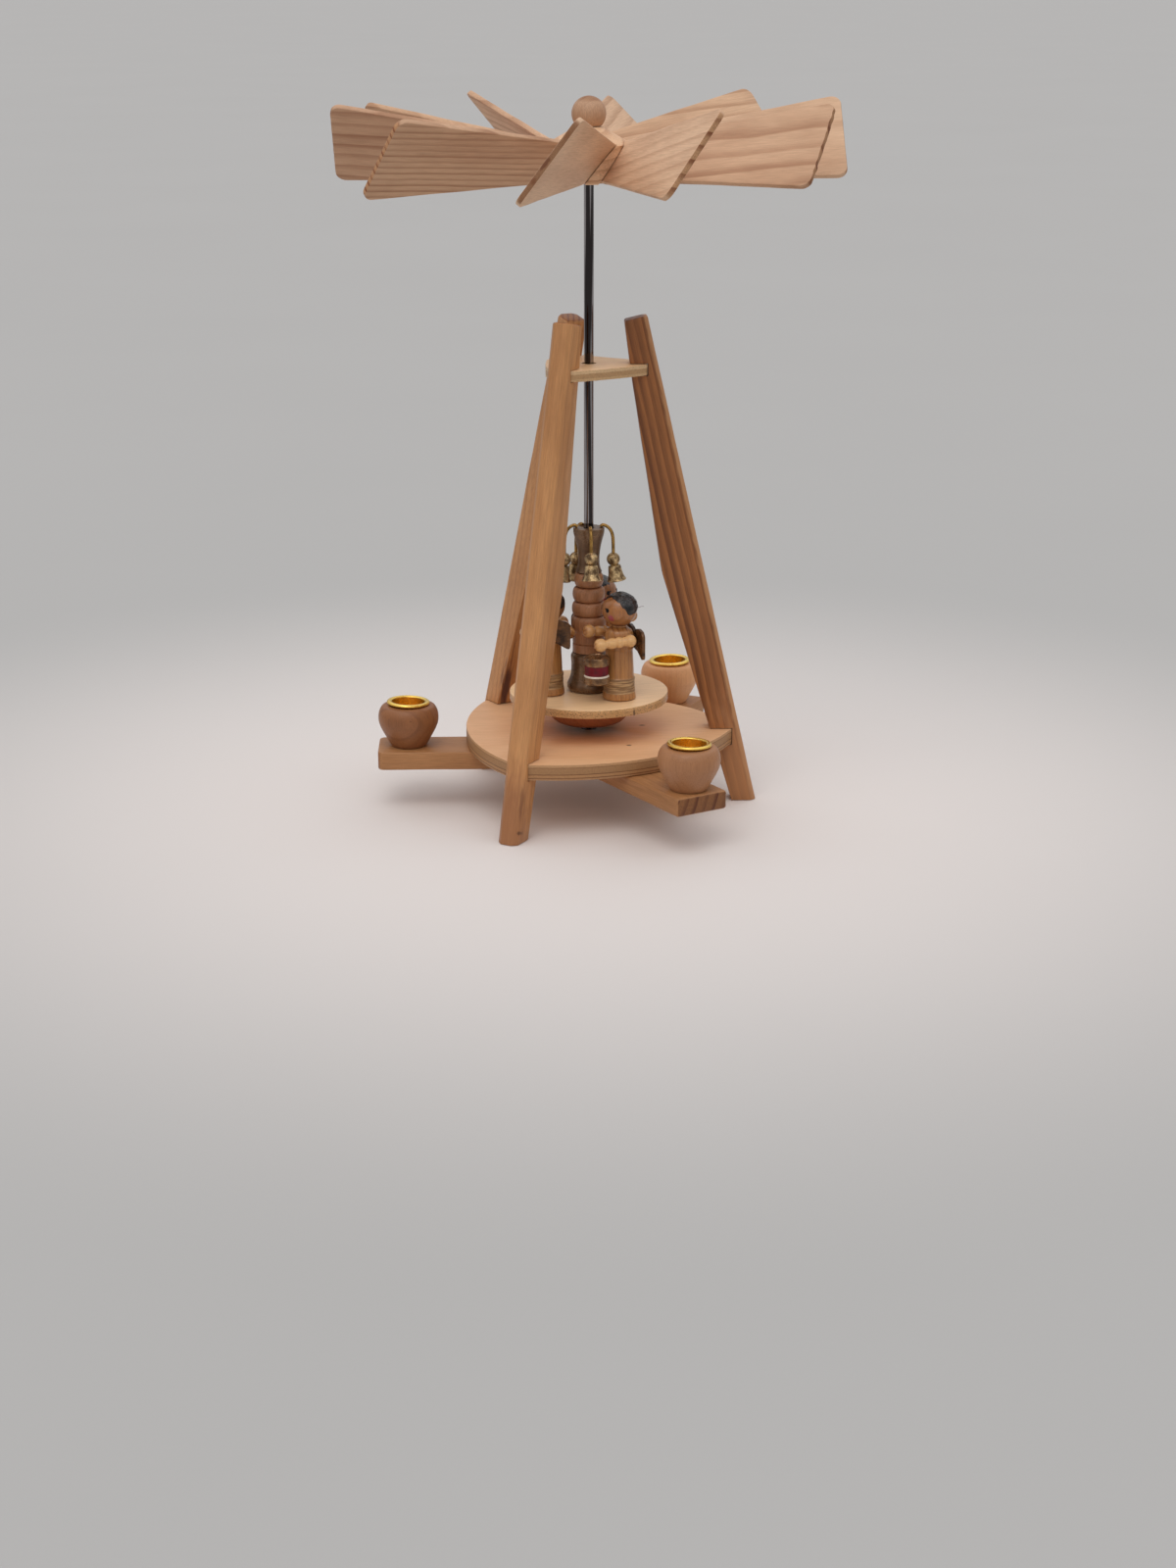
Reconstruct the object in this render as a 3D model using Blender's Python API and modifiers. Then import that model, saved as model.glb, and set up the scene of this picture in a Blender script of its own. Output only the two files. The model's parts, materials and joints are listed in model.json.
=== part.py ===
"""Christmas pyramid: a pine stand with candle arms, a turning stage of figures and a wing wheel.

Three leaning legs hold a base plate and a small upper plate. Three flat arms under the
base plate carry turned candle holders with brass cups. A pointed steel shaft stands in a
bearing cup and turns with the table, its turned column, four bells and three figures. The
wheel of ten hand-set blades rests on top of the shaft and lifts off.

Lengths are in metres and angles in degrees. +Z is up and the origin lies on the floor,
on the shaft's axis.
"""

import math

import bmesh
import bpy
from mathutils import Matrix, Vector

COLLECTION_NAME = "christmas_pyramid"
GAP = 0.0003
WELD_DISTANCE = 0.00001

# Legs: a straight outer face, and an inner face with a knee between the two plates
LEG_NAMES = ("leg_right", "leg_back_left", "leg_front_left")
LEG_AZIMUTHS = (0.0, 120.0, 240.0)
LEG_SWINGS = (0.0, 0.0134, 0.0)
LEG_SWING_HEIGHT = 0.1600
LEG_WIDTH = 0.0092
LEG_HEIGHTS = (0.2058, 0.2036, 0.2054)
LEG_RISE = 0.2058
LEG_FOOT_OUTER_RADIUS = 0.0712
LEG_TOP_OUTER_RADIUS = 0.0236
LEG_FOOT_DEPTH = 0.0103
LEG_KNEE_HEIGHT = 0.0990
LEG_KNEE_DEPTH = 0.0178
LEG_NECK_DEPTH = 0.0119
LEG_TOP_DEPTH = 0.0095
LEG_OUTER_CHAMFER = 0.0020
LEG_EDGE_ROUND = 0.0006

# Base plate and upper plate: three-sided outlines with a blunt tip let into each leg
PLATE_TOP = 0.0318
PLATE_THICKNESS = 0.0067
PLATE_MID_RADIUS = 0.0516
PLATE_TIP_WALL = 0.0050
PLATE_SHOULDER = 0.0026
PLATE_FACET = 0.0017
UPPER_TOP = 0.1862
UPPER_THICKNESS = 0.0044
UPPER_MID_RADIUS = 0.0176
UPPER_TIP_WALL = 0.0054
UPPER_SHOULDER = 0.0013
UPPER_FACET = 0.0009
OUTLINE_ARC_STEPS = 10
PLATE_EDGE_ROUND = 0.0005

# Candle arms, holders and cups
ARM_NAMES = ("candle_arm_back_right", "candle_arm_left", "candle_arm_front_right")
ARM_REACHES = (0.0891, 0.0891, 0.0862)
ARM_WIDTH = 0.0238
ARM_THICKNESS = 0.0077
ARM_EDGE_ROUND = 0.0009
HOLDER_PLACES = ("back_right", "left", "front_right")
HOLDER_REACH = 0.0763
HOLDER_BASE_RADIUS = 0.0080
HOLDER_BELLY_RADIUS = 0.0127
HOLDER_BELLY_HEIGHT = 0.0118
HOLDER_HEIGHT = 0.0175
HOLDER_LIP_RADIUS = 0.0102
HOLDER_MOUTH_ROUND = 0.0006
CUP_INNER_RADIUS = 0.0070
CUP_WALL = 0.0005
CUP_DEPTH = 0.0095
CUP_FLANGE_RADIUS = 0.0087
CUP_FLANGE_HEIGHT = 0.0011

# Shaft and its bearing
SHAFT_RADIUS = 0.0020
SHAFT_POINT_LENGTH = 0.0040
SHAFT_POINT_RADIUS = 0.0003
SHAFT_RUNNING_GAP = 0.0010
BEARING_RADIUS = 0.0031
BEARING_HEIGHT = 0.0042
BEARING_DIMPLE_RADIUS = 0.0022
BEARING_DIMPLE_DEPTH = 0.0018

# Turntable, its dome and the column on it
TABLE_TOP = 0.0484
TABLE_THICKNESS = 0.0036
TABLE_RADIUS = 0.0334
TABLE_EDGE_ROUND = 0.0004
DOME_RADIUS = 0.0172
DOME_BOTTOM_RADIUS = 0.0115
DOME_HEIGHT = 0.0095
FOOT_HEIGHT = 0.0163
FOOT_FLARE_RADIUS = 0.0091
FOOT_WAIST_RADIUS = 0.0074
BODY_HEIGHT = 0.0340
BODY_BAND_RADIUS = 0.0068
BODY_BELLY_RADIUS = 0.0073
BODY_BEAD_RADII = (0.0061, 0.0068, 0.0071)
BODY_BEAD_HEIGHT = 0.0062
BODY_GROOVE_DEPTH = 0.0011
NECK_HEIGHT = 0.0185
NECK_TOP_RADIUS = 0.0066
NECK_WAIST_RADIUS = 0.0045
NECK_BOTTOM_RADIUS = 0.0055

# Bells on bent wires: seen from above, counterclockwise from +X
BELL_AZIMUTHS = (358.0, 272.0, 182.0, 120.0)
BELL_RISES = (0.0, 0.0022, 0.0, -0.0016)
BELL_NAMES = ("right", "front", "left", "back")
BELL_REACH = 0.0102
BELL_HANG = 0.0134
BELL_BEAD_RADIUS = 0.0028
BELL_CROWN_RADIUS = 0.0027
BELL_RIM_RADIUS = 0.0041
BELL_LENGTH = 0.0067
BELL_TILT = 9.0
WIRE_RADIUS = 0.0004
WIRE_SEAT_RADIUS = 0.0048
WIRE_ARCH_RISE = 0.0010
WIRE_STEPS = 7

# Figures: where each stands on the table, where it marches and where it looks
FIGURE_NAMES = ("front_right", "left", "back_right")
FIGURE_RADII = (0.0183, 0.0181, 0.0197)
FIGURE_AZIMUTHS = (312.0, 196.6, 74.7)
FIGURE_HEADINGS = (199.0, 86.0, 318.0)
FIGURE_GAZES = (197.0, 80.0, 326.0)
SKIRT_HEM_RADIUS = 0.0070
SKIRT_BAND_RADIUS = 0.0065
SKIRT_RADIUS = 0.0061
SKIRT_BAND_BOTTOM = 0.0028
SKIRT_BAND_TOP = 0.0090
WAIST_HEIGHT = 0.0208
TORSO_RADIUS = 0.0061
SHOULDER_HEIGHT = 0.0288
FIGURE_NECK_HEIGHT = 0.0312
FIGURE_NECK_RADIUS = 0.0030
HEAD_CENTRE_HEIGHT = 0.0378
HEAD_RADIUS = 0.0073
ARM_BALL_RADIUS = 0.0026
HAND_RADIUS = 0.0028
SLEEVE_RADIUS = 0.0020
ARM_BACKSET = 0.0013
HAND_FORWARD = 0.0112
HAND_SIDES = ((0.0074, 0.0060), (0.0074, 0.0054), (0.0074, 0.0074))
SHOULDER_DROP = 0.0026
HAND_RISES = ((-0.0011, 0.0017), (0.0014, 0.0014), (0.0014, 0.0014))
WING_SPAN = 0.0098
WING_HEIGHT = 0.0124
WING_ARCH = 0.0020
WING_ROOT_HEIGHT = 0.0072
WING_THICKNESS = 0.0014
WING_TOP_HEIGHTS = (0.0299, 0.0330, 0.0299)
DRUM_RADIUS = 0.0053
DRUM_RIM = 0.0004
DRUM_HEIGHT = 0.0112
DRUM_BOTTOM = 0.0082
DRUM_SIDE_TURN = 18.0
BOOK_HEIGHT = 0.0075
BOOK_THICKNESS = 0.0016
BOOK_TILT = 28.0
SQUEEZEBOX_RADIUS = 0.0034
SQUEEZEBOX_FOLDS = 4
SQUEEZEBOX_FOLD_DEPTH = 0.0006

# Wing wheel: hub, knob and blades, each blade with its own hand-set angles
HUB_BOTTOM = 0.2585
HUB_SIDE_HEIGHT = 0.0151
HUB_RADIUS = 0.0169
HUB_TOP_RADIUS = 0.0054
HUB_CONE_HEIGHT = 0.0063
HUB_BORE_DEPTH = 0.0138
KNOB_RADIUS = 0.0069
KNOB_FLAT_RADIUS = 0.0050
KNOB_PIN_RADIUS = 0.0020
KNOB_PIN_LENGTH = 0.0035
BLADE_AZIMUTHS = (326.0, 355.0, 36.0, 72.0, 108.0, 142.0, 174.0, 214.0, 256.0, 287.0)
BLADE_PITCHES = (48.0, 48.0, 50.0, 45.0, 49.0, 48.0, 50.0, 50.0, 53.0, 53.0)
BLADE_LIFTS = (5.8, 6.0, 5.7, 3.6, 5.0, 3.2, 4.4, 3.0, 4.2, 5.7)
BLADE_SEAT_HEIGHT = 0.0088
BLADE_SIDESTEP = 0.0067
BLADE_ROOT_REACH = 0.0103
BLADE_TIP_REACH = 0.1020
BLADE_ROOT_WIDTH = 0.0186
BLADE_TIP_WIDTH = 0.0400
BLADE_THICKNESS = 0.0022
BLADE_CORNER = 0.0045
BLADE_EDGE_ROUND = 0.0004
SLOT_SPREAD = 1.6

# Fineness of the round pieces
LARGE_STEPS = 40
MEDIUM_STEPS = 26
SMALL_STEPS = 18
TINY_STEPS = 10
CORNER_STEPS = 3

# Heights that follow from the sizes above
PLATE_BOTTOM = PLATE_TOP - PLATE_THICKNESS
UPPER_BOTTOM = UPPER_TOP - UPPER_THICKNESS
ARM_TOP = PLATE_BOTTOM - GAP
HOLDER_BOTTOM = ARM_TOP + GAP
FOOT_BOTTOM = TABLE_TOP + GAP
BODY_BOTTOM = FOOT_BOTTOM + FOOT_HEIGHT + GAP
NECK_BOTTOM = BODY_BOTTOM + BODY_HEIGHT + GAP
NECK_TOP = NECK_BOTTOM + NECK_HEIGHT
BORE_RADIUS = SHAFT_RADIUS + GAP
SHAFT_BOTTOM = PLATE_TOP - BEARING_DIMPLE_DEPTH + GAP
SHAFT_TOP = HUB_BOTTOM + HUB_BORE_DEPTH - GAP
HUB_TOP = HUB_BOTTOM + HUB_SIDE_HEIGHT + HUB_CONE_HEIGHT
FIGURE_BASE = TABLE_TOP + GAP

# Colours as linear RGB, each with a roughness and a metallic value
PALE_PINE = ("pale_pine", (0.57, 0.36, 0.20), 0.55, 0.0)
LEG_PINE = ("leg_pine", (0.40, 0.21, 0.095), 0.50, 0.0)
PLATE_WOOD = ("plate_wood", (0.60, 0.34, 0.19), 0.55, 0.0)
TURNED_WOOD = ("turned_wood", (0.33, 0.15, 0.075), 0.45, 0.0)
FIGURE_WOOD = ("figure_wood", (0.52, 0.26, 0.10), 0.40, 0.0)
LIMB_WOOD = ("limb_wood", (0.66, 0.42, 0.20), 0.40, 0.0)
BRONZE_PAINT = ("bronze_paint", (0.16, 0.11, 0.06), 0.35, 0.6)
GOLD_PAINT = ("gold_paint", (0.42, 0.31, 0.12), 0.35, 0.8)
BRASS = ("brass", (0.86, 0.58, 0.13), 0.18, 1.0)
STEEL = ("steel", (0.55, 0.55, 0.57), 0.18, 1.0)
RED_PAINT = ("red_paint", (0.45, 0.02, 0.05), 0.35, 0.0)
PAPER = ("paper", (0.75, 0.70, 0.58), 0.70, 0.0)


def clear_scene():
    """Remove every object that the file starts with."""
    for leftover in list(bpy.data.objects):
        bpy.data.objects.remove(leftover, do_unlink=True)


def make_collection(name):
    """Return a new collection linked to the scene."""
    collection = bpy.data.collections.new(name)
    bpy.context.scene.collection.children.link(collection)
    return collection


def paint(finish):
    """Return the material of a finish, made once and then shared."""
    name, colour, roughness, metallic = finish
    material = bpy.data.materials.get(name)
    if material is None:
        material = bpy.data.materials.new(name)
        material.use_nodes = True
        shader = material.node_tree.nodes["Principled BSDF"]
        shader.inputs["Base Color"].default_value = (*colour, 1.0)
        shader.inputs["Roughness"].default_value = roughness
        shader.inputs["Metallic"].default_value = metallic
    return material


def polar(radius, azimuth, height=0.0):
    """Return the point at a radius, an azimuth in degrees and a height."""
    angle = math.radians(azimuth)
    return Vector((radius * math.cos(angle), radius * math.sin(angle), height))


def turn(azimuth):
    """Return a rotation about +Z by an azimuth in degrees."""
    return Matrix.Rotation(math.radians(azimuth), 4, "Z")


def add_object(name, data, finish, parent=None, matrix=None):
    """Link an object with its finish, parent and local placement."""
    thing = bpy.data.objects.new(name, data)
    data.materials.append(paint(finish))
    parts.objects.link(thing)
    thing.parent = parent
    if matrix is not None:
        thing.matrix_local = matrix
    return thing


def add_empty(name, parent=None, matrix=None):
    """Link an empty that carries moving or repeated pieces."""
    empty = bpy.data.objects.new(name, None)
    parts.objects.link(empty)
    empty.parent = parent
    if matrix is not None:
        empty.matrix_local = matrix
    return empty


def turned(name, profile, finish, steps, parent=None, matrix=None, bored=False):
    """Make a turned piece from points (radius, height) that run down its outer side.

    A solid piece's profile starts and ends on the axis; a bored one's closes on itself
    along the bore.
    """
    mesh = bpy.data.meshes.new(name)
    points = [(radius, 0.0, height) for radius, height in profile]
    edges = [(index, index + 1) for index in range(len(points) - 1)]
    if bored:
        edges.append((len(points) - 1, 0))
    mesh.from_pydata(points, edges, [])
    thing = add_object(name, mesh, finish, parent, matrix)
    screw = thing.modifiers.new("turned", "SCREW")
    screw.axis = "Z"
    screw.steps = steps
    screw.render_steps = steps
    screw.use_merge_vertices = True
    screw.merge_threshold = WELD_DISTANCE
    screw.use_smooth_shade = True
    return thing


def outline_mesh(name, loops, thickness):
    """Return a welded mesh of a flat outline, given as closed loops of (x, y) points.

    The first loop is the outside and any others are holes. The slab is centred on z = 0.
    """
    curve = bpy.data.curves.new(name, "CURVE")
    curve.dimensions = "2D"
    curve.fill_mode = "BOTH"
    curve.extrude = thickness / 2
    for loop in loops:
        spline = curve.splines.new("POLY")
        spline.points.add(len(loop) - 1)
        for point, (x, y) in zip(spline.points, loop):
            point.co = (x, y, 0.0, 1.0)
        spline.use_cyclic_u = True
    holder = bpy.data.objects.new(name + "_outline", curve)
    parts.objects.link(holder)
    bpy.context.view_layer.update()
    evaluated = holder.evaluated_get(bpy.context.evaluated_depsgraph_get())
    mesh = bpy.data.meshes.new_from_object(evaluated)
    mesh.materials.clear()
    bpy.data.objects.remove(holder, do_unlink=True)
    cage = bmesh.new()
    cage.from_mesh(mesh)
    bmesh.ops.remove_doubles(cage, verts=cage.verts, dist=WELD_DISTANCE)
    bmesh.ops.dissolve_limit(
        cage, angle_limit=math.radians(0.5), verts=cage.verts, edges=cage.edges
    )
    bmesh.ops.recalc_face_normals(cage, faces=cage.faces)
    cage.to_mesh(mesh)
    cage.free()
    return mesh


def round_edges(thing, width, segments=2):
    """Round a piece's sharp edges with a Bevel modifier."""
    bevel = thing.modifiers.new("rounded", "BEVEL")
    bevel.width = width
    bevel.segments = segments
    bevel.use_clamp_overlap = False
    bevel.limit_method = "ANGLE"
    bevel.angle_limit = math.radians(40.0)


def make_box_cutter(name, size, place, shift=(0.0, 0.0, 0.0)):
    """Make a box that other pieces are cut with, shifted in its own frame before it is placed."""
    cage = bmesh.new()
    bmesh.ops.create_cube(cage, size=1.0)
    bmesh.ops.scale(cage, verts=cage.verts, vec=size)
    bmesh.ops.translate(cage, verts=cage.verts, vec=shift)
    mesh = bpy.data.meshes.new(name)
    cage.to_mesh(mesh)
    cage.free()
    cutter = bpy.data.objects.new(name, mesh)
    cutters.objects.link(cutter)
    cutter.matrix_world = place
    cutter.hide_render = True
    cutter.display_type = "WIRE"
    return cutter


def cut(thing, cutter):
    """Cut a piece with a cutter by a Boolean modifier."""
    boolean = thing.modifiers.new(cutter.name, "BOOLEAN")
    boolean.operation = "DIFFERENCE"
    boolean.solver = "EXACT"
    boolean.object = cutter


def arc(centre, radius, start, end, steps):
    """Return points of an arc between two angles in degrees, both ends included."""
    points = []
    for step in range(steps + 1):
        angle = math.radians(start + (end - start) * step / steps)
        points.append((centre[0] + radius * math.cos(angle), centre[1] + radius * math.sin(angle)))
    return points


def circle(radius, steps):
    """Return a closed loop of points on a circle about the origin."""
    return arc((0.0, 0.0), radius, 0.0, 360.0 * (steps - 1) / steps, steps - 1)


def leg_outer_radius(height):
    """Return the radius of a leg's outer face at a height."""
    share = height / LEG_RISE
    return LEG_FOOT_OUTER_RADIUS + (LEG_TOP_OUTER_RADIUS - LEG_FOOT_OUTER_RADIUS) * share


def tip_radius(bottom, wall):
    """Return how far a plate's tip reaches, leaving a wall of the leg outside it."""
    return leg_outer_radius(bottom) - wall


def leg_outline(height):
    """Return the side outline, as (radius, height) points, of a leg with a square-cut top."""
    lean = math.atan2(LEG_FOOT_OUTER_RADIUS - LEG_TOP_OUTER_RADIUS, LEG_RISE)
    top_radius = leg_outer_radius(height)
    return [
        (LEG_FOOT_OUTER_RADIUS, 0.0),
        (top_radius, height),
        (top_radius - LEG_TOP_DEPTH * math.cos(lean), height - LEG_TOP_DEPTH * math.sin(lean)),
        (leg_outer_radius(UPPER_BOTTOM) - LEG_NECK_DEPTH, UPPER_BOTTOM),
        (leg_outer_radius(LEG_KNEE_HEIGHT) - LEG_KNEE_DEPTH, LEG_KNEE_HEIGHT),
        (LEG_FOOT_OUTER_RADIUS - LEG_FOOT_DEPTH, 0.0),
    ]


def chamfer_outer_edges(mesh):
    """Chamfer the two long edges of a leg's outer face."""
    cage = bmesh.new()
    cage.from_mesh(mesh)
    long_edges = [
        edge
        for edge in cage.edges
        if edge.calc_length() > UPPER_TOP
        and min(vert.co.x for vert in edge.verts) > LEG_TOP_OUTER_RADIUS - GAP
    ]
    bmesh.ops.bevel(
        cage, geom=long_edges, offset=LEG_OUTER_CHAMFER, segments=2, profile=0.6, affect="EDGES"
    )
    cage.to_mesh(mesh)
    cage.free()


def leg_sidestep(swing, height):
    """Return how far a leg stands aside at a height, when its foot is swung by a distance."""
    return swing * (1.0 - height / LEG_SWING_HEIGHT)


def make_leg(name, azimuth, swing, height):
    """Make one leg: its side outline stood upright across the azimuth, its foot swung aside."""
    mesh = outline_mesh(name, [leg_outline(height)], LEG_WIDTH)
    chamfer_outer_edges(mesh)
    mesh.transform(Matrix.Rotation(math.radians(90.0), 4, "X"))
    skew = Matrix.Identity(4)
    skew[1][2] = -swing / LEG_SWING_HEIGHT
    skew[1][3] = swing
    mesh.transform(skew)
    leg = add_object(name, mesh, LEG_PINE, matrix=turn(azimuth))
    round_edges(leg, LEG_EDGE_ROUND, segments=1)
    notches = (
        ("lower", tip_radius(PLATE_BOTTOM, PLATE_TIP_WALL), PLATE_BOTTOM, PLATE_TOP),
        ("upper", tip_radius(UPPER_BOTTOM, UPPER_TIP_WALL), UPPER_BOTTOM, UPPER_TOP),
    )
    for label, tip, bottom, top in notches:
        size = (tip + GAP, (LEG_WIDTH + swing) * 2, top - bottom + 2 * GAP)
        middle = Vector((size[0] / 2, swing, (bottom + top) / 2))
        place = turn(azimuth) @ Matrix.Translation(middle)
        cut(leg, make_box_cutter(name + "_" + label + "_notch", size, place))


def plate_outline(tip, mid_radius, shoulder, facet, height):
    """Return the loop of a three-sided plate: a blunt, faceted tip at each leg, joined by arcs."""
    tip_half = LEG_WIDTH / 2
    half = tip_half + shoulder
    tips = []
    for azimuth, swing in zip(LEG_AZIMUTHS, LEG_SWINGS):
        frame = turn(azimuth) @ Matrix.Translation((0.0, leg_sidestep(swing, height), 0.0))
        corners = ((tip - facet, -half), (tip, -tip_half), (tip, tip_half), (tip - facet, half))
        tips.append([frame @ Vector((along, across, 0.0)) for along, across in corners])
    points = []
    for index, corners in enumerate(tips):
        following = tips[(index + 1) % len(tips)]
        points += corners + bowed_side(corners[-1], following[0], mid_radius)
    return [(point.x, point.y) for point in points]


def bowed_side(start, end, mid_radius):
    """Return the inner points of an arc between two points that bows out to a mid radius."""
    middle = (start + end) / 2
    run = end - start
    outward = Vector((run.y, -run.x, 0.0)).normalized()
    rise = mid_radius - middle.dot(outward)
    bow_radius = (run.length**2 / 4 + rise**2) / (2 * rise)
    centre = middle + outward * (rise - bow_radius)
    sweep = math.asin(run.length / 2 / bow_radius)
    points = []
    for step in range(1, OUTLINE_ARC_STEPS):
        angle = sweep * (2.0 * step / OUTLINE_ARC_STEPS - 1.0)
        spoke = Matrix.Rotation(angle, 4, "Z") @ outward
        points.append(centre + spoke * bow_radius)
    return points


def make_plate(name, outline, hole_radius, top, thickness, finish):
    """Make a plate from its outline with a round hole for the shaft or its bearing."""
    mesh = outline_mesh(name, [outline, circle(hole_radius, SMALL_STEPS)], thickness)
    lift = Matrix.Translation((0.0, 0.0, top - thickness / 2))
    plate = add_object(name, mesh, finish, matrix=lift)
    round_edges(plate, PLATE_EDGE_ROUND, segments=1)
    return plate


def make_frame_plates():
    """Make the base plate and the upper plate."""
    make_plate(
        "base_plate",
        plate_outline(
            tip_radius(PLATE_BOTTOM, PLATE_TIP_WALL),
            PLATE_MID_RADIUS,
            PLATE_SHOULDER,
            PLATE_FACET,
            PLATE_TOP - PLATE_THICKNESS / 2,
        ),
        BEARING_RADIUS + GAP,
        PLATE_TOP,
        PLATE_THICKNESS,
        PLATE_WOOD,
    )
    make_plate(
        "upper_plate",
        plate_outline(
            tip_radius(UPPER_BOTTOM, UPPER_TIP_WALL),
            UPPER_MID_RADIUS,
            UPPER_SHOULDER,
            UPPER_FACET,
            UPPER_TOP - UPPER_THICKNESS / 2,
        ),
        SHAFT_RADIUS + SHAFT_RUNNING_GAP,
        UPPER_TOP,
        UPPER_THICKNESS,
        PLATE_WOOD,
    )


def make_arm(name, azimuth, reach):
    """Make one candle arm: a flat bar mitred at the centre against its two neighbours."""
    half = ARM_WIDTH / 2
    apex = GAP / 2 / math.sin(math.radians(60.0))
    shoulder = apex + half / math.tan(math.radians(60.0))
    outline = [(apex, 0.0), (shoulder, -half), (reach, -half), (reach, half), (shoulder, half)]
    mesh = outline_mesh(name, [outline], ARM_THICKNESS)
    place = turn(azimuth) @ Matrix.Translation((0.0, 0.0, ARM_TOP - ARM_THICKNESS / 2))
    arm = add_object(name, mesh, LEG_PINE, matrix=place)
    round_edges(arm, ARM_EDGE_ROUND)
    return arm


def holder_profile():
    """Return a candle holder's profile: a bowl that swells above its foot, with a socket."""
    socket = CUP_INNER_RADIUS + CUP_WALL + GAP
    floor = HOLDER_HEIGHT - CUP_DEPTH - GAP
    shoulder_height = HOLDER_HEIGHT - HOLDER_BELLY_HEIGHT
    profile = [(socket, HOLDER_HEIGHT), (HOLDER_LIP_RADIUS - HOLDER_MOUTH_ROUND, HOLDER_HEIGHT)]
    for angle in (68.0, 46.0, 24.0, 0.0):
        swell = HOLDER_BELLY_RADIUS - HOLDER_LIP_RADIUS
        radius = HOLDER_LIP_RADIUS + swell * math.cos(math.radians(angle))
        height = HOLDER_BELLY_HEIGHT + shoulder_height * 0.96 * math.sin(math.radians(angle))
        profile.append((radius, height))
    taper = HOLDER_BELLY_RADIUS - HOLDER_BASE_RADIUS
    for share in (0.72, 0.46, 0.22):
        curve = math.sin(math.radians(90.0 * share)) ** 1.15
        profile.append((HOLDER_BASE_RADIUS + taper * curve, HOLDER_BELLY_HEIGHT * share))
    profile += [(HOLDER_BASE_RADIUS, 0.0), (0.0, 0.0)]
    return [(0.0, floor), (socket, floor)] + profile


def cup_profile():
    """Return a brass cup's profile: a thin beaker with a rolled flange over the holder."""
    outer = CUP_INNER_RADIUS + CUP_WALL
    crown = GAP + CUP_FLANGE_HEIGHT
    return [
        (0.0, CUP_WALL - CUP_DEPTH),
        (CUP_INNER_RADIUS, CUP_WALL - CUP_DEPTH),
        (CUP_INNER_RADIUS, GAP + CUP_FLANGE_HEIGHT * 0.55),
        (CUP_INNER_RADIUS + (CUP_FLANGE_RADIUS - CUP_INNER_RADIUS) * 0.4, crown),
        (CUP_FLANGE_RADIUS - CUP_FLANGE_HEIGHT * 0.3, crown * 0.9),
        (CUP_FLANGE_RADIUS, GAP + CUP_FLANGE_HEIGHT * 0.35),
        (CUP_FLANGE_RADIUS - CUP_FLANGE_HEIGHT * 0.2, GAP),
        (outer, GAP),
        (outer, -CUP_DEPTH),
        (0.0, -CUP_DEPTH),
    ]


def make_candle_places():
    """Make the three arms, each with its holder and brass cup."""
    for index, place in enumerate(HOLDER_PLACES):
        azimuth = 60.0 + 120.0 * index
        make_arm(ARM_NAMES[index], azimuth, ARM_REACHES[index])
        seat = polar(HOLDER_REACH, azimuth, HOLDER_BOTTOM)
        spot = Matrix.Translation(seat)
        turned("candle_holder_" + place, holder_profile(), TURNED_WOOD, MEDIUM_STEPS, matrix=spot)
        mouth = Matrix.Translation(seat + Vector((0.0, 0.0, HOLDER_HEIGHT)))
        turned("candle_cup_" + place, cup_profile(), BRASS, MEDIUM_STEPS, matrix=mouth)


def make_bearing():
    """Make the bearing cup: a short slug in the base plate with a conical dimple on top."""
    profile = [
        (0.0, PLATE_TOP - BEARING_DIMPLE_DEPTH),
        (BEARING_DIMPLE_RADIUS, PLATE_TOP),
        (BEARING_RADIUS, PLATE_TOP),
        (BEARING_RADIUS, PLATE_TOP - BEARING_HEIGHT),
        (0.0, PLATE_TOP - BEARING_HEIGHT),
    ]
    turned("bearing_cup", profile, STEEL, SMALL_STEPS)


def make_shaft(parent):
    """Make the polished steel shaft with its point down in the bearing."""
    profile = [
        (0.0, SHAFT_TOP),
        (SHAFT_RADIUS, SHAFT_TOP),
        (SHAFT_RADIUS, SHAFT_BOTTOM + SHAFT_POINT_LENGTH),
        (SHAFT_POINT_RADIUS, SHAFT_BOTTOM),
        (0.0, SHAFT_BOTTOM),
    ]
    turned("shaft", profile, STEEL, SMALL_STEPS, parent)


def make_table(parent):
    """Make the turntable disc and the turned dome under it."""
    bottom = TABLE_TOP - TABLE_THICKNESS
    disc = [
        (BORE_RADIUS, TABLE_TOP),
        (TABLE_RADIUS - TABLE_EDGE_ROUND, TABLE_TOP),
        (TABLE_RADIUS, TABLE_TOP - TABLE_EDGE_ROUND),
        (TABLE_RADIUS, bottom + TABLE_EDGE_ROUND),
        (TABLE_RADIUS - TABLE_EDGE_ROUND, bottom),
        (BORE_RADIUS, bottom),
    ]
    turned("turntable", disc, PLATE_WOOD, LARGE_STEPS, parent, bored=True)
    top = bottom - GAP
    dome = [(BORE_RADIUS, top), (DOME_RADIUS - 0.0006, top)]
    for angle in (0.0, 25.0, 50.0, 75.0, 90.0):
        bulge = DOME_RADIUS - DOME_BOTTOM_RADIUS
        radius = DOME_BOTTOM_RADIUS + bulge * math.cos(math.radians(angle))
        height = top - DOME_HEIGHT * (0.35 + 0.65 * math.sin(math.radians(angle)))
        dome.append((radius, height))
    dome.append((BORE_RADIUS, top - DOME_HEIGHT))
    turned("turntable_dome", dome, TURNED_WOOD, MEDIUM_STEPS, parent, bored=True)


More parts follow.
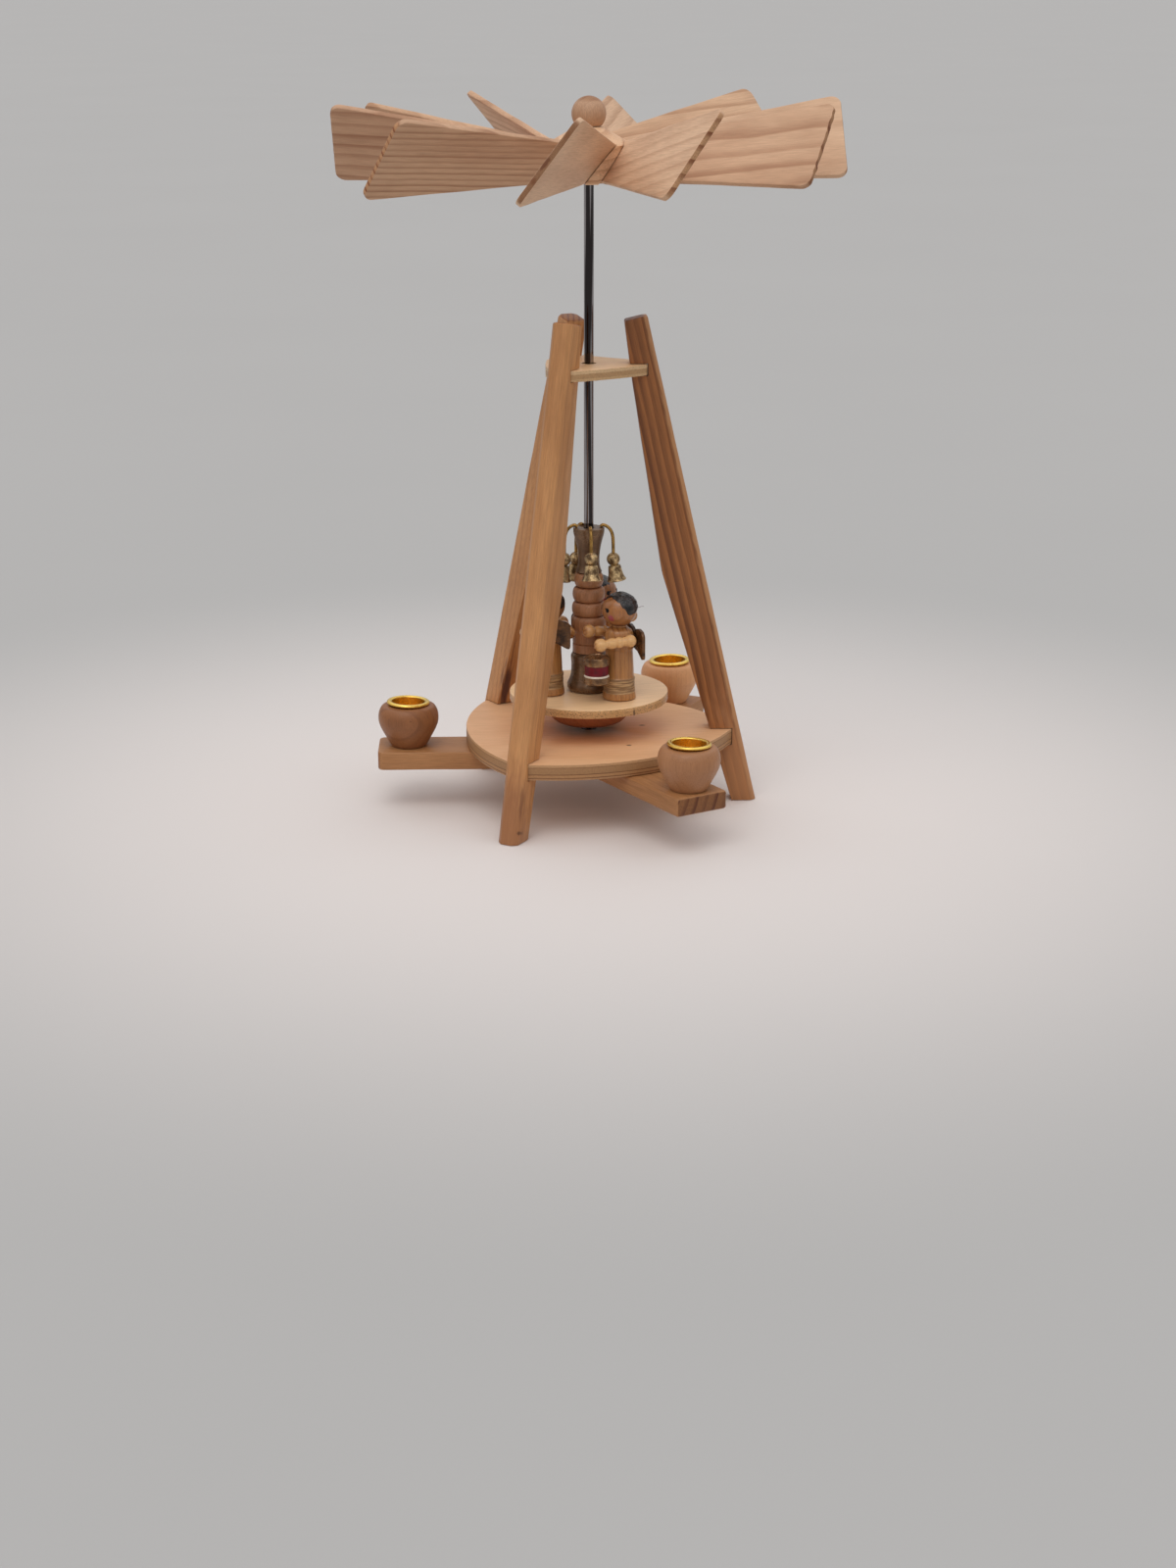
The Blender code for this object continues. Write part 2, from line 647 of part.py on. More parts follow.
def foot_profile():
    """Return the column foot's profile: a waist that flares to a rounded base."""
    flare = FOOT_FLARE_RADIUS - FOOT_WAIST_RADIUS
    return [
        (BORE_RADIUS, FOOT_HEIGHT),
        (BODY_BAND_RADIUS, FOOT_HEIGHT),
        (FOOT_WAIST_RADIUS + flare * 0.12, FOOT_HEIGHT * 0.88),
        (FOOT_WAIST_RADIUS, FOOT_HEIGHT * 0.68),
        (FOOT_WAIST_RADIUS + flare * 0.10, FOOT_HEIGHT * 0.46),
        (FOOT_WAIST_RADIUS + flare * 0.50, FOOT_HEIGHT * 0.29),
        (FOOT_FLARE_RADIUS, FOOT_HEIGHT * 0.16),
        (FOOT_FLARE_RADIUS - flare * 0.10, FOOT_HEIGHT * 0.07),
        (FOOT_FLARE_RADIUS - flare * 0.55, 0.0),
        (BORE_RADIUS, 0.0),
    ]


def body_profile():
    """Return the column body's profile: a stack of beads over a straight band."""
    profile = [(BORE_RADIUS, BODY_HEIGHT)]
    top = BODY_HEIGHT
    for radius in BODY_BEAD_RADII:
        profile.append((radius - BODY_GROOVE_DEPTH, top))
        for share in (0.16, 0.5, 0.84):
            crest = radius if share == 0.5 else radius - BODY_GROOVE_DEPTH * 0.2
            profile.append((crest, top - BODY_BEAD_HEIGHT * share))
        top -= BODY_BEAD_HEIGHT
    profile += [
        (BODY_BELLY_RADIUS - BODY_GROOVE_DEPTH, top),
        (BODY_BELLY_RADIUS, top - BODY_BEAD_HEIGHT * 0.3),
        (BODY_BELLY_RADIUS, top - BODY_BEAD_HEIGHT * 0.7),
        (BODY_BAND_RADIUS, top - BODY_BEAD_HEIGHT * 1.3),
        (BODY_BAND_RADIUS, 0.0),
        (BORE_RADIUS, 0.0),
    ]
    return profile


def neck_profile():
    """Return the column neck's profile: a waist under a wide top band."""
    return [
        (BORE_RADIUS, NECK_HEIGHT),
        (NECK_TOP_RADIUS - 0.0004, NECK_HEIGHT),
        (NECK_TOP_RADIUS, NECK_HEIGHT * 0.97),
        (NECK_TOP_RADIUS - 0.0002, NECK_HEIGHT * 0.86),
        (NECK_WAIST_RADIUS + (NECK_TOP_RADIUS - NECK_WAIST_RADIUS) * 0.28, NECK_HEIGHT * 0.62),
        (NECK_WAIST_RADIUS, NECK_HEIGHT * 0.38),
        (NECK_WAIST_RADIUS, NECK_HEIGHT * 0.20),
        (NECK_BOTTOM_RADIUS, 0.0),
        (BORE_RADIUS, 0.0),
    ]


def make_column(parent):
    """Make the three turned pieces of the column, threaded on the shaft."""
    pieces = (
        ("column_foot", foot_profile(), FOOT_BOTTOM, BRONZE_PAINT),
        ("column_body", body_profile(), BODY_BOTTOM, TURNED_WOOD),
        ("column_neck", neck_profile(), NECK_BOTTOM, BRONZE_PAINT),
    )
    for name, profile, height, finish in pieces:
        lift = Matrix.Translation((0.0, 0.0, height))
        turned(name, profile, finish, MEDIUM_STEPS, parent, lift, bored=True)


def wire_points(bead_height):
    """Return a bell wire's route in its own upright plane, from the neck to the bead."""
    seat = Vector((WIRE_SEAT_RADIUS, 0.0, NECK_TOP + GAP))
    crest = NECK_TOP + WIRE_ARCH_RISE + WIRE_RADIUS * 2
    end = Vector((BELL_REACH, 0.0, bead_height + BELL_BEAD_RADIUS + GAP))
    points = [seat]
    for step in range(1, WIRE_STEPS + 1):
        angle = math.radians(90.0 - 90.0 * step / WIRE_STEPS)
        across = WIRE_SEAT_RADIUS + (BELL_REACH - WIRE_SEAT_RADIUS) * math.cos(angle)
        drop = (crest - end.z) * (1.0 - math.sin(angle) ** 0.45)
        points.append(Vector((across, 0.0, crest - drop)))
    return points


def make_wire(name, azimuth, bead_height, parent):
    """Make one bent wire as a thin tube."""
    curve = bpy.data.curves.new(name, "CURVE")
    curve.dimensions = "3D"
    curve.bevel_depth = WIRE_RADIUS
    curve.bevel_resolution = 1
    curve.use_fill_caps = True
    route = wire_points(bead_height)
    spline = curve.splines.new("POLY")
    spline.points.add(len(route) - 1)
    for point, place in zip(spline.points, route):
        point.co = (*place, 1.0)
    wire = add_object(name, curve, GOLD_PAINT, parent, turn(azimuth))
    weld = wire.modifiers.new("caps", "WELD")
    weld.merge_threshold = WELD_DISTANCE
    return wire


def bell_profile():
    """Return the profile of a bead over a small bell, measured from the bead's centre."""
    profile = [(0.0, BELL_BEAD_RADIUS)]
    for angle in (50.0, 10.0, -35.0):
        level = math.radians(angle)
        profile.append((BELL_BEAD_RADIUS * math.cos(level), BELL_BEAD_RADIUS * math.sin(level)))
    crown = -BELL_BEAD_RADIUS * 0.85
    profile += [
        (BELL_CROWN_RADIUS * 0.55, crown),
        (BELL_CROWN_RADIUS, crown - BELL_LENGTH * 0.14),
        (BELL_CROWN_RADIUS * 1.12, crown - BELL_LENGTH * 0.55),
        (BELL_RIM_RADIUS, crown - BELL_LENGTH * 0.95),
        (BELL_RIM_RADIUS * 0.94, crown - BELL_LENGTH),
        (0.0, crown - BELL_LENGTH * 0.80),
    ]
    return profile


def make_bells(parent):
    """Make the four bells and the wires that they hang from."""
    for name, azimuth, rise in zip(BELL_NAMES, BELL_AZIMUTHS, BELL_RISES):
        bead_height = NECK_TOP - BELL_HANG + rise
        make_wire("bell_wire_" + name, azimuth, bead_height, parent)
        lean = Matrix.Rotation(math.radians(-BELL_TILT), 4, "Y")
        spot = Matrix.Translation((BELL_REACH, 0.0, bead_height))
        turned("bell_" + name, bell_profile(), GOLD_PAINT, TINY_STEPS + 2, parent, turn(azimuth) @ spot @ lean)


def figure_profile():
    """Return a figure's body profile: a banded skirt, a torso and a short neck."""
    return [
        (0.0, FIGURE_NECK_HEIGHT),
        (FIGURE_NECK_RADIUS, FIGURE_NECK_HEIGHT),
        (FIGURE_NECK_RADIUS * 1.25, SHOULDER_HEIGHT + 0.0014),
        (TORSO_RADIUS * 0.90, SHOULDER_HEIGHT),
        (TORSO_RADIUS, SHOULDER_HEIGHT - 0.0028),
        (TORSO_RADIUS, WAIST_HEIGHT + 0.0008),
        (SKIRT_RADIUS * 0.97, WAIST_HEIGHT - 0.0006),
        (SKIRT_RADIUS, SKIRT_BAND_TOP + 0.0004),
        (SKIRT_BAND_RADIUS, SKIRT_BAND_TOP - 0.0004),
        (SKIRT_BAND_RADIUS, SKIRT_BAND_BOTTOM),
        (SKIRT_HEM_RADIUS, 0.0004),
        (SKIRT_HEM_RADIUS - 0.0004, 0.0),
        (0.0, 0.0),
    ]


def head_profile():
    """Return the head's profile: a ball with a small flat under it for the neck."""
    flat = math.degrees(math.acos((HEAD_CENTRE_HEIGHT - FIGURE_NECK_HEIGHT - GAP) / HEAD_RADIUS))
    profile = [(0.0, HEAD_RADIUS)]
    rings = 7
    for ring in range(1, rings + 1):
        angle = math.radians((180.0 - flat) * ring / rings)
        profile.append((HEAD_RADIUS * math.sin(angle), HEAD_RADIUS * math.cos(angle)))
    profile.append((0.0, FIGURE_NECK_HEIGHT + GAP - HEAD_CENTRE_HEIGHT))
    return profile


def limb_profile(length):
    """Return an arm's profile along its own axis: a hand ball, a sleeve and a shoulder ball."""
    profile = [(0.0, length + HAND_RADIUS)]
    for angle in (52.0, 15.0, -30.0):
        level = math.radians(angle)
        profile.append((HAND_RADIUS * math.cos(level), length + HAND_RADIUS * math.sin(level)))
    profile += [(SLEEVE_RADIUS, length - HAND_RADIUS), (SLEEVE_RADIUS, ARM_BALL_RADIUS * 1.1)]
    for angle in (25.0, -15.0, -55.0):
        level = math.radians(angle)
        profile.append((ARM_BALL_RADIUS * math.cos(level), ARM_BALL_RADIUS * math.sin(level)))
    profile.append((0.0, -ARM_BALL_RADIUS))
    return profile


def limb_side():
    """Return how far to the side a shoulder ball sits against the torso."""
    return TORSO_RADIUS + GAP + ARM_BALL_RADIUS


def make_limbs(name, base, rises, sides):
    """Make a figure's two arms, reaching forward, each to its own height and distance aside."""
    start_height = SHOULDER_HEIGHT - SHOULDER_DROP
    for side, sign, rise, aside in (("left", 1.0, rises[0], sides[0]), ("right", -1.0, rises[1], sides[1])):
        run = Vector((HAND_FORWARD + ARM_BACKSET, sign * (aside - limb_side()), rise))
        aim = run.to_track_quat("Z", "Y").to_matrix().to_4x4()
        shoulder = Matrix.Translation((-ARM_BACKSET, sign * limb_side(), start_height))
        turned(
            "figure_" + name + "_arm_" + side, limb_profile(run.length), LIMB_WOOD, TINY_STEPS, base, shoulder @ aim
        )


def wing_outline():
    """Return the pair of wings as one loop in the plane across the figure's back."""
    root_bottom = WING_ARCH + WING_ROOT_HEIGHT
    half = [
        (0.0, -WING_ARCH),
        (WING_SPAN * 0.22, -WING_ARCH * 0.30),
        (WING_SPAN * 0.50, 0.0),
        (WING_SPAN * 0.82, -WING_ARCH * 0.40),
        (WING_SPAN * 0.97, -WING_ARCH * 1.10),
        (WING_SPAN, -WING_ARCH * 1.60),
        (WING_SPAN, -WING_HEIGHT * 0.93),
        (WING_SPAN * 0.95, -WING_HEIGHT),
        (WING_SPAN * 0.86, -WING_HEIGHT * 0.99),
        (WING_SPAN * 0.40, -root_bottom - WING_ARCH * 0.30),
        (0.0, -root_bottom),
    ]
    mirrored = [(-x, y) for x, y in reversed(half[1:-1])]
    return half + mirrored


def make_wings(name, base, top):
    """Make a figure's wings, flat against its back, with their top at a height."""
    mesh = outline_mesh(name, [wing_outline()], WING_THICKNESS)
    upright = Matrix.Rotation(math.radians(90.0), 4, "Z") @ Matrix.Rotation(math.radians(90.0), 4, "X")
    mesh.transform(upright)
    back = -(SKIRT_RADIUS + GAP + WING_THICKNESS / 2)
    add_object(name, mesh, BRONZE_PAINT, base, Matrix.Translation((back, 0.0, top)))


def make_drum(name, base):
    """Make the drum that hangs at the first figure's front."""
    rim = DRUM_RADIUS
    shell = DRUM_RADIUS - DRUM_RIM
    profile = [(0.0, DRUM_HEIGHT), (rim, DRUM_HEIGHT), (rim, DRUM_HEIGHT * 0.72)]
    profile += [(shell, DRUM_HEIGHT * 0.70), (shell, DRUM_HEIGHT * 0.30)]
    profile += [(rim, DRUM_HEIGHT * 0.28), (rim, 0.0), (0.0, 0.0)]
    distance = SKIRT_BAND_RADIUS + GAP + DRUM_RADIUS
    spot = Matrix.Translation(polar(distance, DRUM_SIDE_TURN, DRUM_BOTTOM))
    turned(name, profile, RED_PAINT, SMALL_STEPS, base, spot)


def hand_gap(sides):
    """Return the free width between two hands."""
    return sum(sides) - 2 * (HAND_RADIUS + GAP)


def between_hands(rises, sides):
    """Return the point midway between a figure's hands, from its base."""
    height = SHOULDER_HEIGHT - SHOULDER_DROP + sum(rises) / 2
    return Vector((HAND_FORWARD, (sides[0] - sides[1]) / 2, height))


def make_book(name, base, rises, sides):
    """Make the song book held between the second figure's hands."""
    cage = bmesh.new()
    bmesh.ops.create_cube(cage, size=1.0)
    bmesh.ops.scale(cage, verts=cage.verts, vec=(BOOK_THICKNESS, hand_gap(sides), BOOK_HEIGHT))
    mesh = bpy.data.meshes.new(name)
    cage.to_mesh(mesh)
    cage.free()
    lean = Matrix.Rotation(math.radians(BOOK_TILT), 4, "Y")
    spot = Matrix.Translation(between_hands(rises, sides) + Vector((0.0, 0.0, BOOK_HEIGHT * 0.2)))
    add_object(name, mesh, PAPER, base, spot @ lean)


def make_squeezebox(name, base, rises, sides):
    """Make the pleated squeezebox held between the third figure's hands."""
    width = hand_gap(sides)
    pleat = width * 0.7 / SQUEEZEBOX_FOLDS
    inner = SQUEEZEBOX_RADIUS - SQUEEZEBOX_FOLD_DEPTH
    profile = [(0.0, width / 2), (SQUEEZEBOX_RADIUS, width / 2), (SQUEEZEBOX_RADIUS, width * 0.36)]
    for fold in range(SQUEEZEBOX_FOLDS):
        top = width * 0.35 - pleat * fold
        profile.append((inner, top))
        profile.append((SQUEEZEBOX_RADIUS, top - pleat / 2))
    profile += [(inner, -width * 0.35), (SQUEEZEBOX_RADIUS, -width * 0.36)]
    profile += [(SQUEEZEBOX_RADIUS, -width / 2), (0.0, -width / 2)]
    across = Matrix.Rotation(math.radians(-90.0), 4, "X")
    spot = Matrix.Translation(between_hands(rises, sides))
    turned(name, profile, RED_PAINT, TINY_STEPS, base, spot @ across)


def make_figures(parent):
    """Make the three figures, each under an empty at its place on the table."""
    for index, place in enumerate(FIGURE_NAMES):
        spot = Matrix.Translation(polar(FIGURE_RADII[index], FIGURE_AZIMUTHS[index], FIGURE_BASE))
        base = add_empty("figure_base_" + place, parent, spot @ turn(FIGURE_HEADINGS[index]))
        stem = "figure_" + place
        turned(stem + "_body", figure_profile(), FIGURE_WOOD, SMALL_STEPS, base)
        look = turn(FIGURE_GAZES[index] - FIGURE_HEADINGS[index])
        skull = Matrix.Translation((0.0, 0.0, HEAD_CENTRE_HEIGHT)) @ look
        turned(stem + "_head", head_profile(), LIMB_WOOD, SMALL_STEPS - 2, base, skull)
        make_limbs(place, base, HAND_RISES[index], HAND_SIDES[index])
        make_wings(stem + "_wings", base, WING_TOP_HEIGHTS[index])
    bases = {place: bpy.data.objects["figure_base_" + place] for place in FIGURE_NAMES}
    make_drum("figure_front_right_drum", bases["front_right"])
    make_book("figure_left_book", bases["left"], HAND_RISES[1], HAND_SIDES[1])
    make_squeezebox("figure_back_right_squeezebox", bases["back_right"], HAND_RISES[2], HAND_SIDES[2])


def blade_outline():
    """Return a blade's loop: a board that widens to a tip with rounded corners."""
    pivot = HUB_RADIUS
    root, tip = BLADE_ROOT_REACH - pivot, BLADE_TIP_REACH - pivot
    root_half, tip_half = BLADE_ROOT_WIDTH / 2, BLADE_TIP_WIDTH / 2
    flare = math.degrees(math.atan2(tip_half - root_half, tip - root))
    corner = BLADE_CORNER
    along = tip - corner
    inset = corner * (1.0 + math.sin(math.radians(flare))) / math.cos(math.radians(flare))
    across = tip_half - inset
    upper = arc((along, across), corner, 0.0, 90.0 + flare, CORNER_STEPS + 1)
    lower = arc((along, -across), corner, -90.0 - flare, 0.0, CORNER_STEPS + 1)
    return [(root, root_half), (root, -root_half)] + lower + upper


def blade_place(azimuth, pitch, lift):
    """Return the placement of a blade or its slot: offset, lifted, then pitched."""
    stand = Matrix.Translation((HUB_RADIUS, BLADE_SIDESTEP, HUB_BOTTOM + BLADE_SEAT_HEIGHT))
    raised = Matrix.Rotation(math.radians(-lift), 4, "Y")
    pitched = Matrix.Rotation(math.radians(pitch), 4, "X")
    return turn(azimuth) @ stand @ raised @ pitched


def hub_profile():
    """Return the wheel hub's profile: a short drum with a cone on top, bored from below."""
    side_top = HUB_BOTTOM + HUB_SIDE_HEIGHT
    pin_floor = HUB_TOP - KNOB_PIN_LENGTH - GAP
    return [
        (0.0, pin_floor),
        (KNOB_PIN_RADIUS + GAP, pin_floor),
        (KNOB_PIN_RADIUS + GAP, HUB_TOP),
        (HUB_TOP_RADIUS, HUB_TOP),
        (HUB_RADIUS - 0.0004, side_top),
        (HUB_RADIUS, side_top - 0.0004),
        (HUB_RADIUS - 0.0003, HUB_BOTTOM + 0.0004),
        (HUB_RADIUS - 0.0007, HUB_BOTTOM),
        (BORE_RADIUS, HUB_BOTTOM),
        (BORE_RADIUS, HUB_BOTTOM + HUB_BORE_DEPTH),
        (0.0, HUB_BOTTOM + HUB_BORE_DEPTH),
    ]


def make_wheel(parent):
    """Make the wing wheel: the slotted hub, its ten blades and the knob."""
    hub = turned("wheel_hub", hub_profile(), LEG_PINE, LARGE_STEPS, parent)
    settings = list(zip(BLADE_AZIMUTHS, BLADE_PITCHES, BLADE_LIFTS))
    for index, (azimuth, pitch, lift) in enumerate(settings, start=1):
        name = "blade_%02d" % index
        place = blade_place(azimuth, pitch, lift)
        depth = HUB_RADIUS - BLADE_ROOT_REACH + GAP
        length = depth + HUB_RADIUS
        size = (length, BLADE_ROOT_WIDTH * SLOT_SPREAD, BLADE_THICKNESS + 2 * GAP)
        cut(hub, make_box_cutter("slot_%02d" % index, size, place, (length / 2 - depth, 0.0, 0.0)))
        mesh = outline_mesh(name, [blade_outline()], BLADE_THICKNESS)
        blade = add_object(name, mesh, PALE_PINE, parent, place)
        round_edges(blade, BLADE_EDGE_ROUND, segments=1)
    make_knob(parent)


def make_knob(parent):
    """Make the ball on top of the wheel, with a pin down into the hub."""
    seat = HUB_TOP + GAP
    centre = seat + math.sqrt(KNOB_RADIUS**2 - KNOB_FLAT_RADIUS**2)
    profile = [(0.0, centre + KNOB_RADIUS)]
    rings = 8
    sweep = 180.0 - math.degrees(math.asin(KNOB_FLAT_RADIUS / KNOB_RADIUS))
    for ring in range(1, rings + 1):
        angle = math.radians(sweep * ring / rings)
        profile.append((KNOB_RADIUS * math.sin(angle), centre + KNOB_RADIUS * math.cos(angle)))
    profile += [(KNOB_PIN_RADIUS, seat), (KNOB_PIN_RADIUS, HUB_TOP - KNOB_PIN_LENGTH)]
    profile.append((0.0, HUB_TOP - KNOB_PIN_LENGTH))
    turned("knob", profile, PALE_PINE, SMALL_STEPS + 2, parent)


def shade_pieces():
    """Shade the flat-sided pieces smooth, with sharp edges where faces meet at an angle."""
    for thing in parts.objects:
        if thing.type == "MESH" and "turned" not in thing.modifiers:
            thing.data.shade_smooth()
            thing.data.set_sharp_from_angle(angle=math.radians(35.0))


clear_scene()
parts = make_collection(COLLECTION_NAME)
cutters = make_collection("cutters")
for leg_settings in zip(LEG_NAMES, LEG_AZIMUTHS, LEG_SWINGS, LEG_HEIGHTS):
    make_leg(*leg_settings)
make_frame_plates()
make_candle_places()
make_bearing()
rotor = add_empty("rotor_axis")
make_shaft(rotor)
make_table(rotor)
make_column(rotor)
make_bells(rotor)
make_figures(rotor)
make_wheel(add_empty("wheel_axis", rotor))
shade_pieces()
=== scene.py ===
"""Looks of a christmas pyramid: pine stand, candle arms, turning stage of figures, wing wheel.

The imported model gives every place. Each sub-assembly below is a class that holds its sizes,
shapes its pieces with mesh operators and dresses them in procedural finishes. Lengths are in
metres and angles in degrees; +Z is up and the origin lies on the floor, on the shaft's axis.
"""

from __future__ import annotations

import json
import logging
import math
from collections.abc import Callable, Iterable, Sequence
from dataclasses import dataclass, field
from enum import Enum

import bmesh
import bpy
from mathutils import Matrix, Vector, noise

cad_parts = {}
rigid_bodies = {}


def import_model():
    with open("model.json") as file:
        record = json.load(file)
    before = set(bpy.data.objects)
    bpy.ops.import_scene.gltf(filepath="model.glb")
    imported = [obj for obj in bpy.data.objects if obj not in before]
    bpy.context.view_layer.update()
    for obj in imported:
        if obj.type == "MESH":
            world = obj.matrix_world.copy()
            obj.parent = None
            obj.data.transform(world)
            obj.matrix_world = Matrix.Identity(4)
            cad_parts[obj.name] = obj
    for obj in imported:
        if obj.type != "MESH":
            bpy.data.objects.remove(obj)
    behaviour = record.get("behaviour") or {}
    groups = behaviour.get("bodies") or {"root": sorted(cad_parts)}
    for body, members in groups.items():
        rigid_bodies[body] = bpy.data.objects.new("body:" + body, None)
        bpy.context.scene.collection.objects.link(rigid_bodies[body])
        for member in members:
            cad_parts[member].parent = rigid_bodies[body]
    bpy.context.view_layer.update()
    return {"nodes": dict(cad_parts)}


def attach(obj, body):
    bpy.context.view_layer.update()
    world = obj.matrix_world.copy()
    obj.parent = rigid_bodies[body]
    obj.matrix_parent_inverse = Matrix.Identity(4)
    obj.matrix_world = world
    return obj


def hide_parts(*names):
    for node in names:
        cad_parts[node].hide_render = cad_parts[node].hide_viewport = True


for leftover in list(bpy.data.objects):
    bpy.data.objects.remove(leftover, do_unlink=True)
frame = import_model()

Colour = tuple[float, float, float]
Triple = tuple[float, float, float]
Point = tuple[float, float]
Cage = bmesh.types.BMesh
Edge = bmesh.types.BMEdge
Socket = bpy.types.NodeSocket
Material = bpy.types.Material

MM = 0.001
CLEARANCE = 0.3 * MM
WELD = 0.001 * MM
CREASE = math.radians(38.0)
WIRE_ROUND = 4
SWAY_SEED = 24
ORIGIN = Vector((0.0, 0.0, 0.0))
X_AXIS = Vector((1.0, 0.0, 0.0))
Y_AXIS = Vector((0.0, 1.0, 0.0))
Z_AXIS = Vector((0.0, 0.0, 1.0))
log = logging.getLogger("christmas_pyramid")


def tone(red: int, green: int, blue: int) -> Colour:
    """Return the linear colour of three 8-bit display values.

    Args:
        red, green, blue: Display values from 0 to 255.

    Returns:
        The colour that a shader socket takes.
    """
    shares = [value / 255.0 for value in (red, green, blue)]
    return tuple(s / 12.92 if s <= 0.04045 else ((s + 0.055) / 1.055) ** 2.4 for s in shares)


def polar(radius: float, azimuth: float, height: float = 0.0) -> Vector:
    """Return the point at a radius, an azimuth in degrees and a height."""
    angle = math.radians(azimuth)
    return Vector((radius * math.cos(angle), radius * math.sin(angle), height))


def tinted(colour: Colour, tint: Colour) -> Colour:
    """Return a colour multiplied by another."""
    return tuple(value * share for value, share in zip(colour, tint))


def turn(azimuth: float) -> Matrix:
    """Return a rotation about +Z by an azimuth in degrees."""
    return Matrix.Rotation(math.radians(azimuth), 4, "Z")


def stand_at(place: Vector) -> Matrix:
    """Return a move to a place."""
    return Matrix.Translation(place)


def tilted(angle: float, axis: str) -> Matrix:
    """Return a rotation about the X or Y axis by an angle in degrees."""
    return Matrix.Rotation(math.radians(angle), 4, axis)


UPRIGHT_GRAIN = tilted(-90.0, "Y")


# Node trees


class Recipe:
    """Node tree of one material, with short names for the nodes that the finishes use."""

    def __init__(self, name: str) -> None:
        """Start a material with its Principled shader.

        Args:
            name: Name of the material.
        """
        self.material = bpy.data.materials.new(name)
        self.material.use_nodes = True
        self.tree = self.material.node_tree
        self.shader = self.tree.nodes["Principled BSDF"]

    def add(self, kind: str, **settings: object) -> bpy.types.Node:
        """Add a node and set its properties.

        Args:
            kind: Class name of the node, without its ShaderNode prefix.
            settings: Properties of the node by name.

        Returns:
            The new node.
        """
        node = self.tree.nodes.new("ShaderNode" + kind)
        for key, value in settings.items():
            setattr(node, key, value)
        return node

    def feed(self, socket: Socket, value: object) -> None:
        """Link a socket to an output, or set its value.

        Args:
            socket: Input to fill.
            value: Output, colour, vector or number.
        """
        if isinstance(value, bpy.types.NodeSocket):
            self.tree.links.new(value, socket)
        elif isinstance(value, tuple) and len(value) == 3 and socket.type == "RGBA":
            socket.default_value = (*value, 1.0)
        else:
            socket.default_value = value

    def calc(self, operation: str, *values: object) -> Socket:
        """Return the result of a Math node.

        Args:
            operation: What the node does.
            values: Its inputs in order.

        Returns:
            The result.
        """
        node = self.add("Math", operation=operation)
        for socket, value in zip(node.inputs, values):
            self.feed(socket, value)
        return node.outputs[0]

    def vector(self, operation: str, first: object, second: object) -> Socket:
        """Return the result of a Vector Math node, a number for a dot product or a length.

        Args:
            operation: What the node does.
            first: First input.
            second: Second input.

        Returns:
            The result.
        """
        node = self.add("VectorMath", operation=operation)
        self.feed(node.inputs[0], first)
        self.feed(node.inputs[1], second)
        single = operation in ("DOT_PRODUCT", "LENGTH", "DISTANCE")
        return node.outputs["Value" if single else "Vector"]

    def mix(self, share: object, first: object, second: object, blend: str = "MIX") -> Socket:
        """Return a blend of two colours.

        Args:
            share: How much of the second colour shows.
            first: First colour.
            second: Second colour.
            blend: How they blend.

        Returns:
            The blended colour.
        """
        node = self.add("Mix", data_type="RGBA", blend_type=blend)
        for index, value in ((0, share), (6, first), (7, second)):
            self.feed(node.inputs[index], value)
        return node.outputs[2]

    def ramp(self, value: Socket, stops: Sequence[tuple[float, object]], steps: bool = False) -> Socket:
        """Return the colour that a ramp gives a value.

        Args:
            value: Number from 0 to 1.
            stops: Position and colour, or grey level, of each stop.
            steps: Whether the ramp changes in steps.

        Returns:
            The colour socket.
        """
        node = self.add("ValToRGB")
        band = node.color_ramp
        band.interpolation = "CONSTANT" if steps else "LINEAR"
        while len(band.elements) < len(stops):
            band.elements.new(1.0)
        for element, (position, colour) in zip(band.elements, stops):
            element.position = position
            rgb = (colour, colour, colour) if isinstance(colour, float) else colour
            element.color = (*rgb, 1.0)
        self.feed(node.inputs[0], value)
        return node.outputs[0]

    def span(self, value: object, low: float, high: float, start: float = 0.0, end: float = 1.0) -> Socket:
        """Return a value carried smoothly from one range to another and held at its ends.

        Args:
            value: Number to carry over.
            low: Start of its range.
            high: End of its range.
            start: Result at the start.
            end: Result at the end.

        Returns:
            The carried number.
        """
        node = self.add("MapRange", interpolation_type="SMOOTHSTEP")
        for socket, number in zip(node.inputs, (value, low, high, start, end)):
            self.feed(socket, number)
        return node.outputs[0]

    def noise(self, where: Socket, scale: float, detail: float = 2.0, rough: float = 0.5) -> Socket:
        """Return a noise value from 0 to 1.

        Args:
            where: Coordinates.
            scale: Waves to a metre, roughly.
            detail: Octaves.
            rough: Strength of the finer octaves.

        Returns:
            The noise value.
        """
        node = self.add("TexNoise")
        self.feed(node.inputs["Vector"], where)
        node.inputs["Scale"].default_value = scale
        node.inputs["Detail"].default_value = detail
        node.inputs["Roughness"].default_value = rough
        return node.outputs["Fac"]

    def here(self) -> Socket:
        """Return the piece's Object coordinates."""
        return self.add("TexCoord").outputs["Object"]

    def parts(self, where: Socket) -> Sequence[Socket]:
        """Return the X, Y and Z of some coordinates.

        Args:
            where: Coordinates.

        Returns:
            Three sockets.
        """
        node = self.add("SeparateXYZ")
        self.feed(node.inputs[0], where)
        return node.outputs

    def board(self, place: Matrix) -> Socket:
        """Return Object coordinates seen from a board's own frame, with X along its grain.

        Args:
            place: The board's frame.

        Returns:
            The coordinates.
        """
        mapping = self.add("Mapping", vector_type="TEXTURE")
        mapping.inputs["Location"].default_value = place.to_translation()
        mapping.inputs["Rotation"].default_value = place.to_euler()
        self.feed(mapping.inputs["Vector"], self.here())
        return mapping.outputs["Vector"]

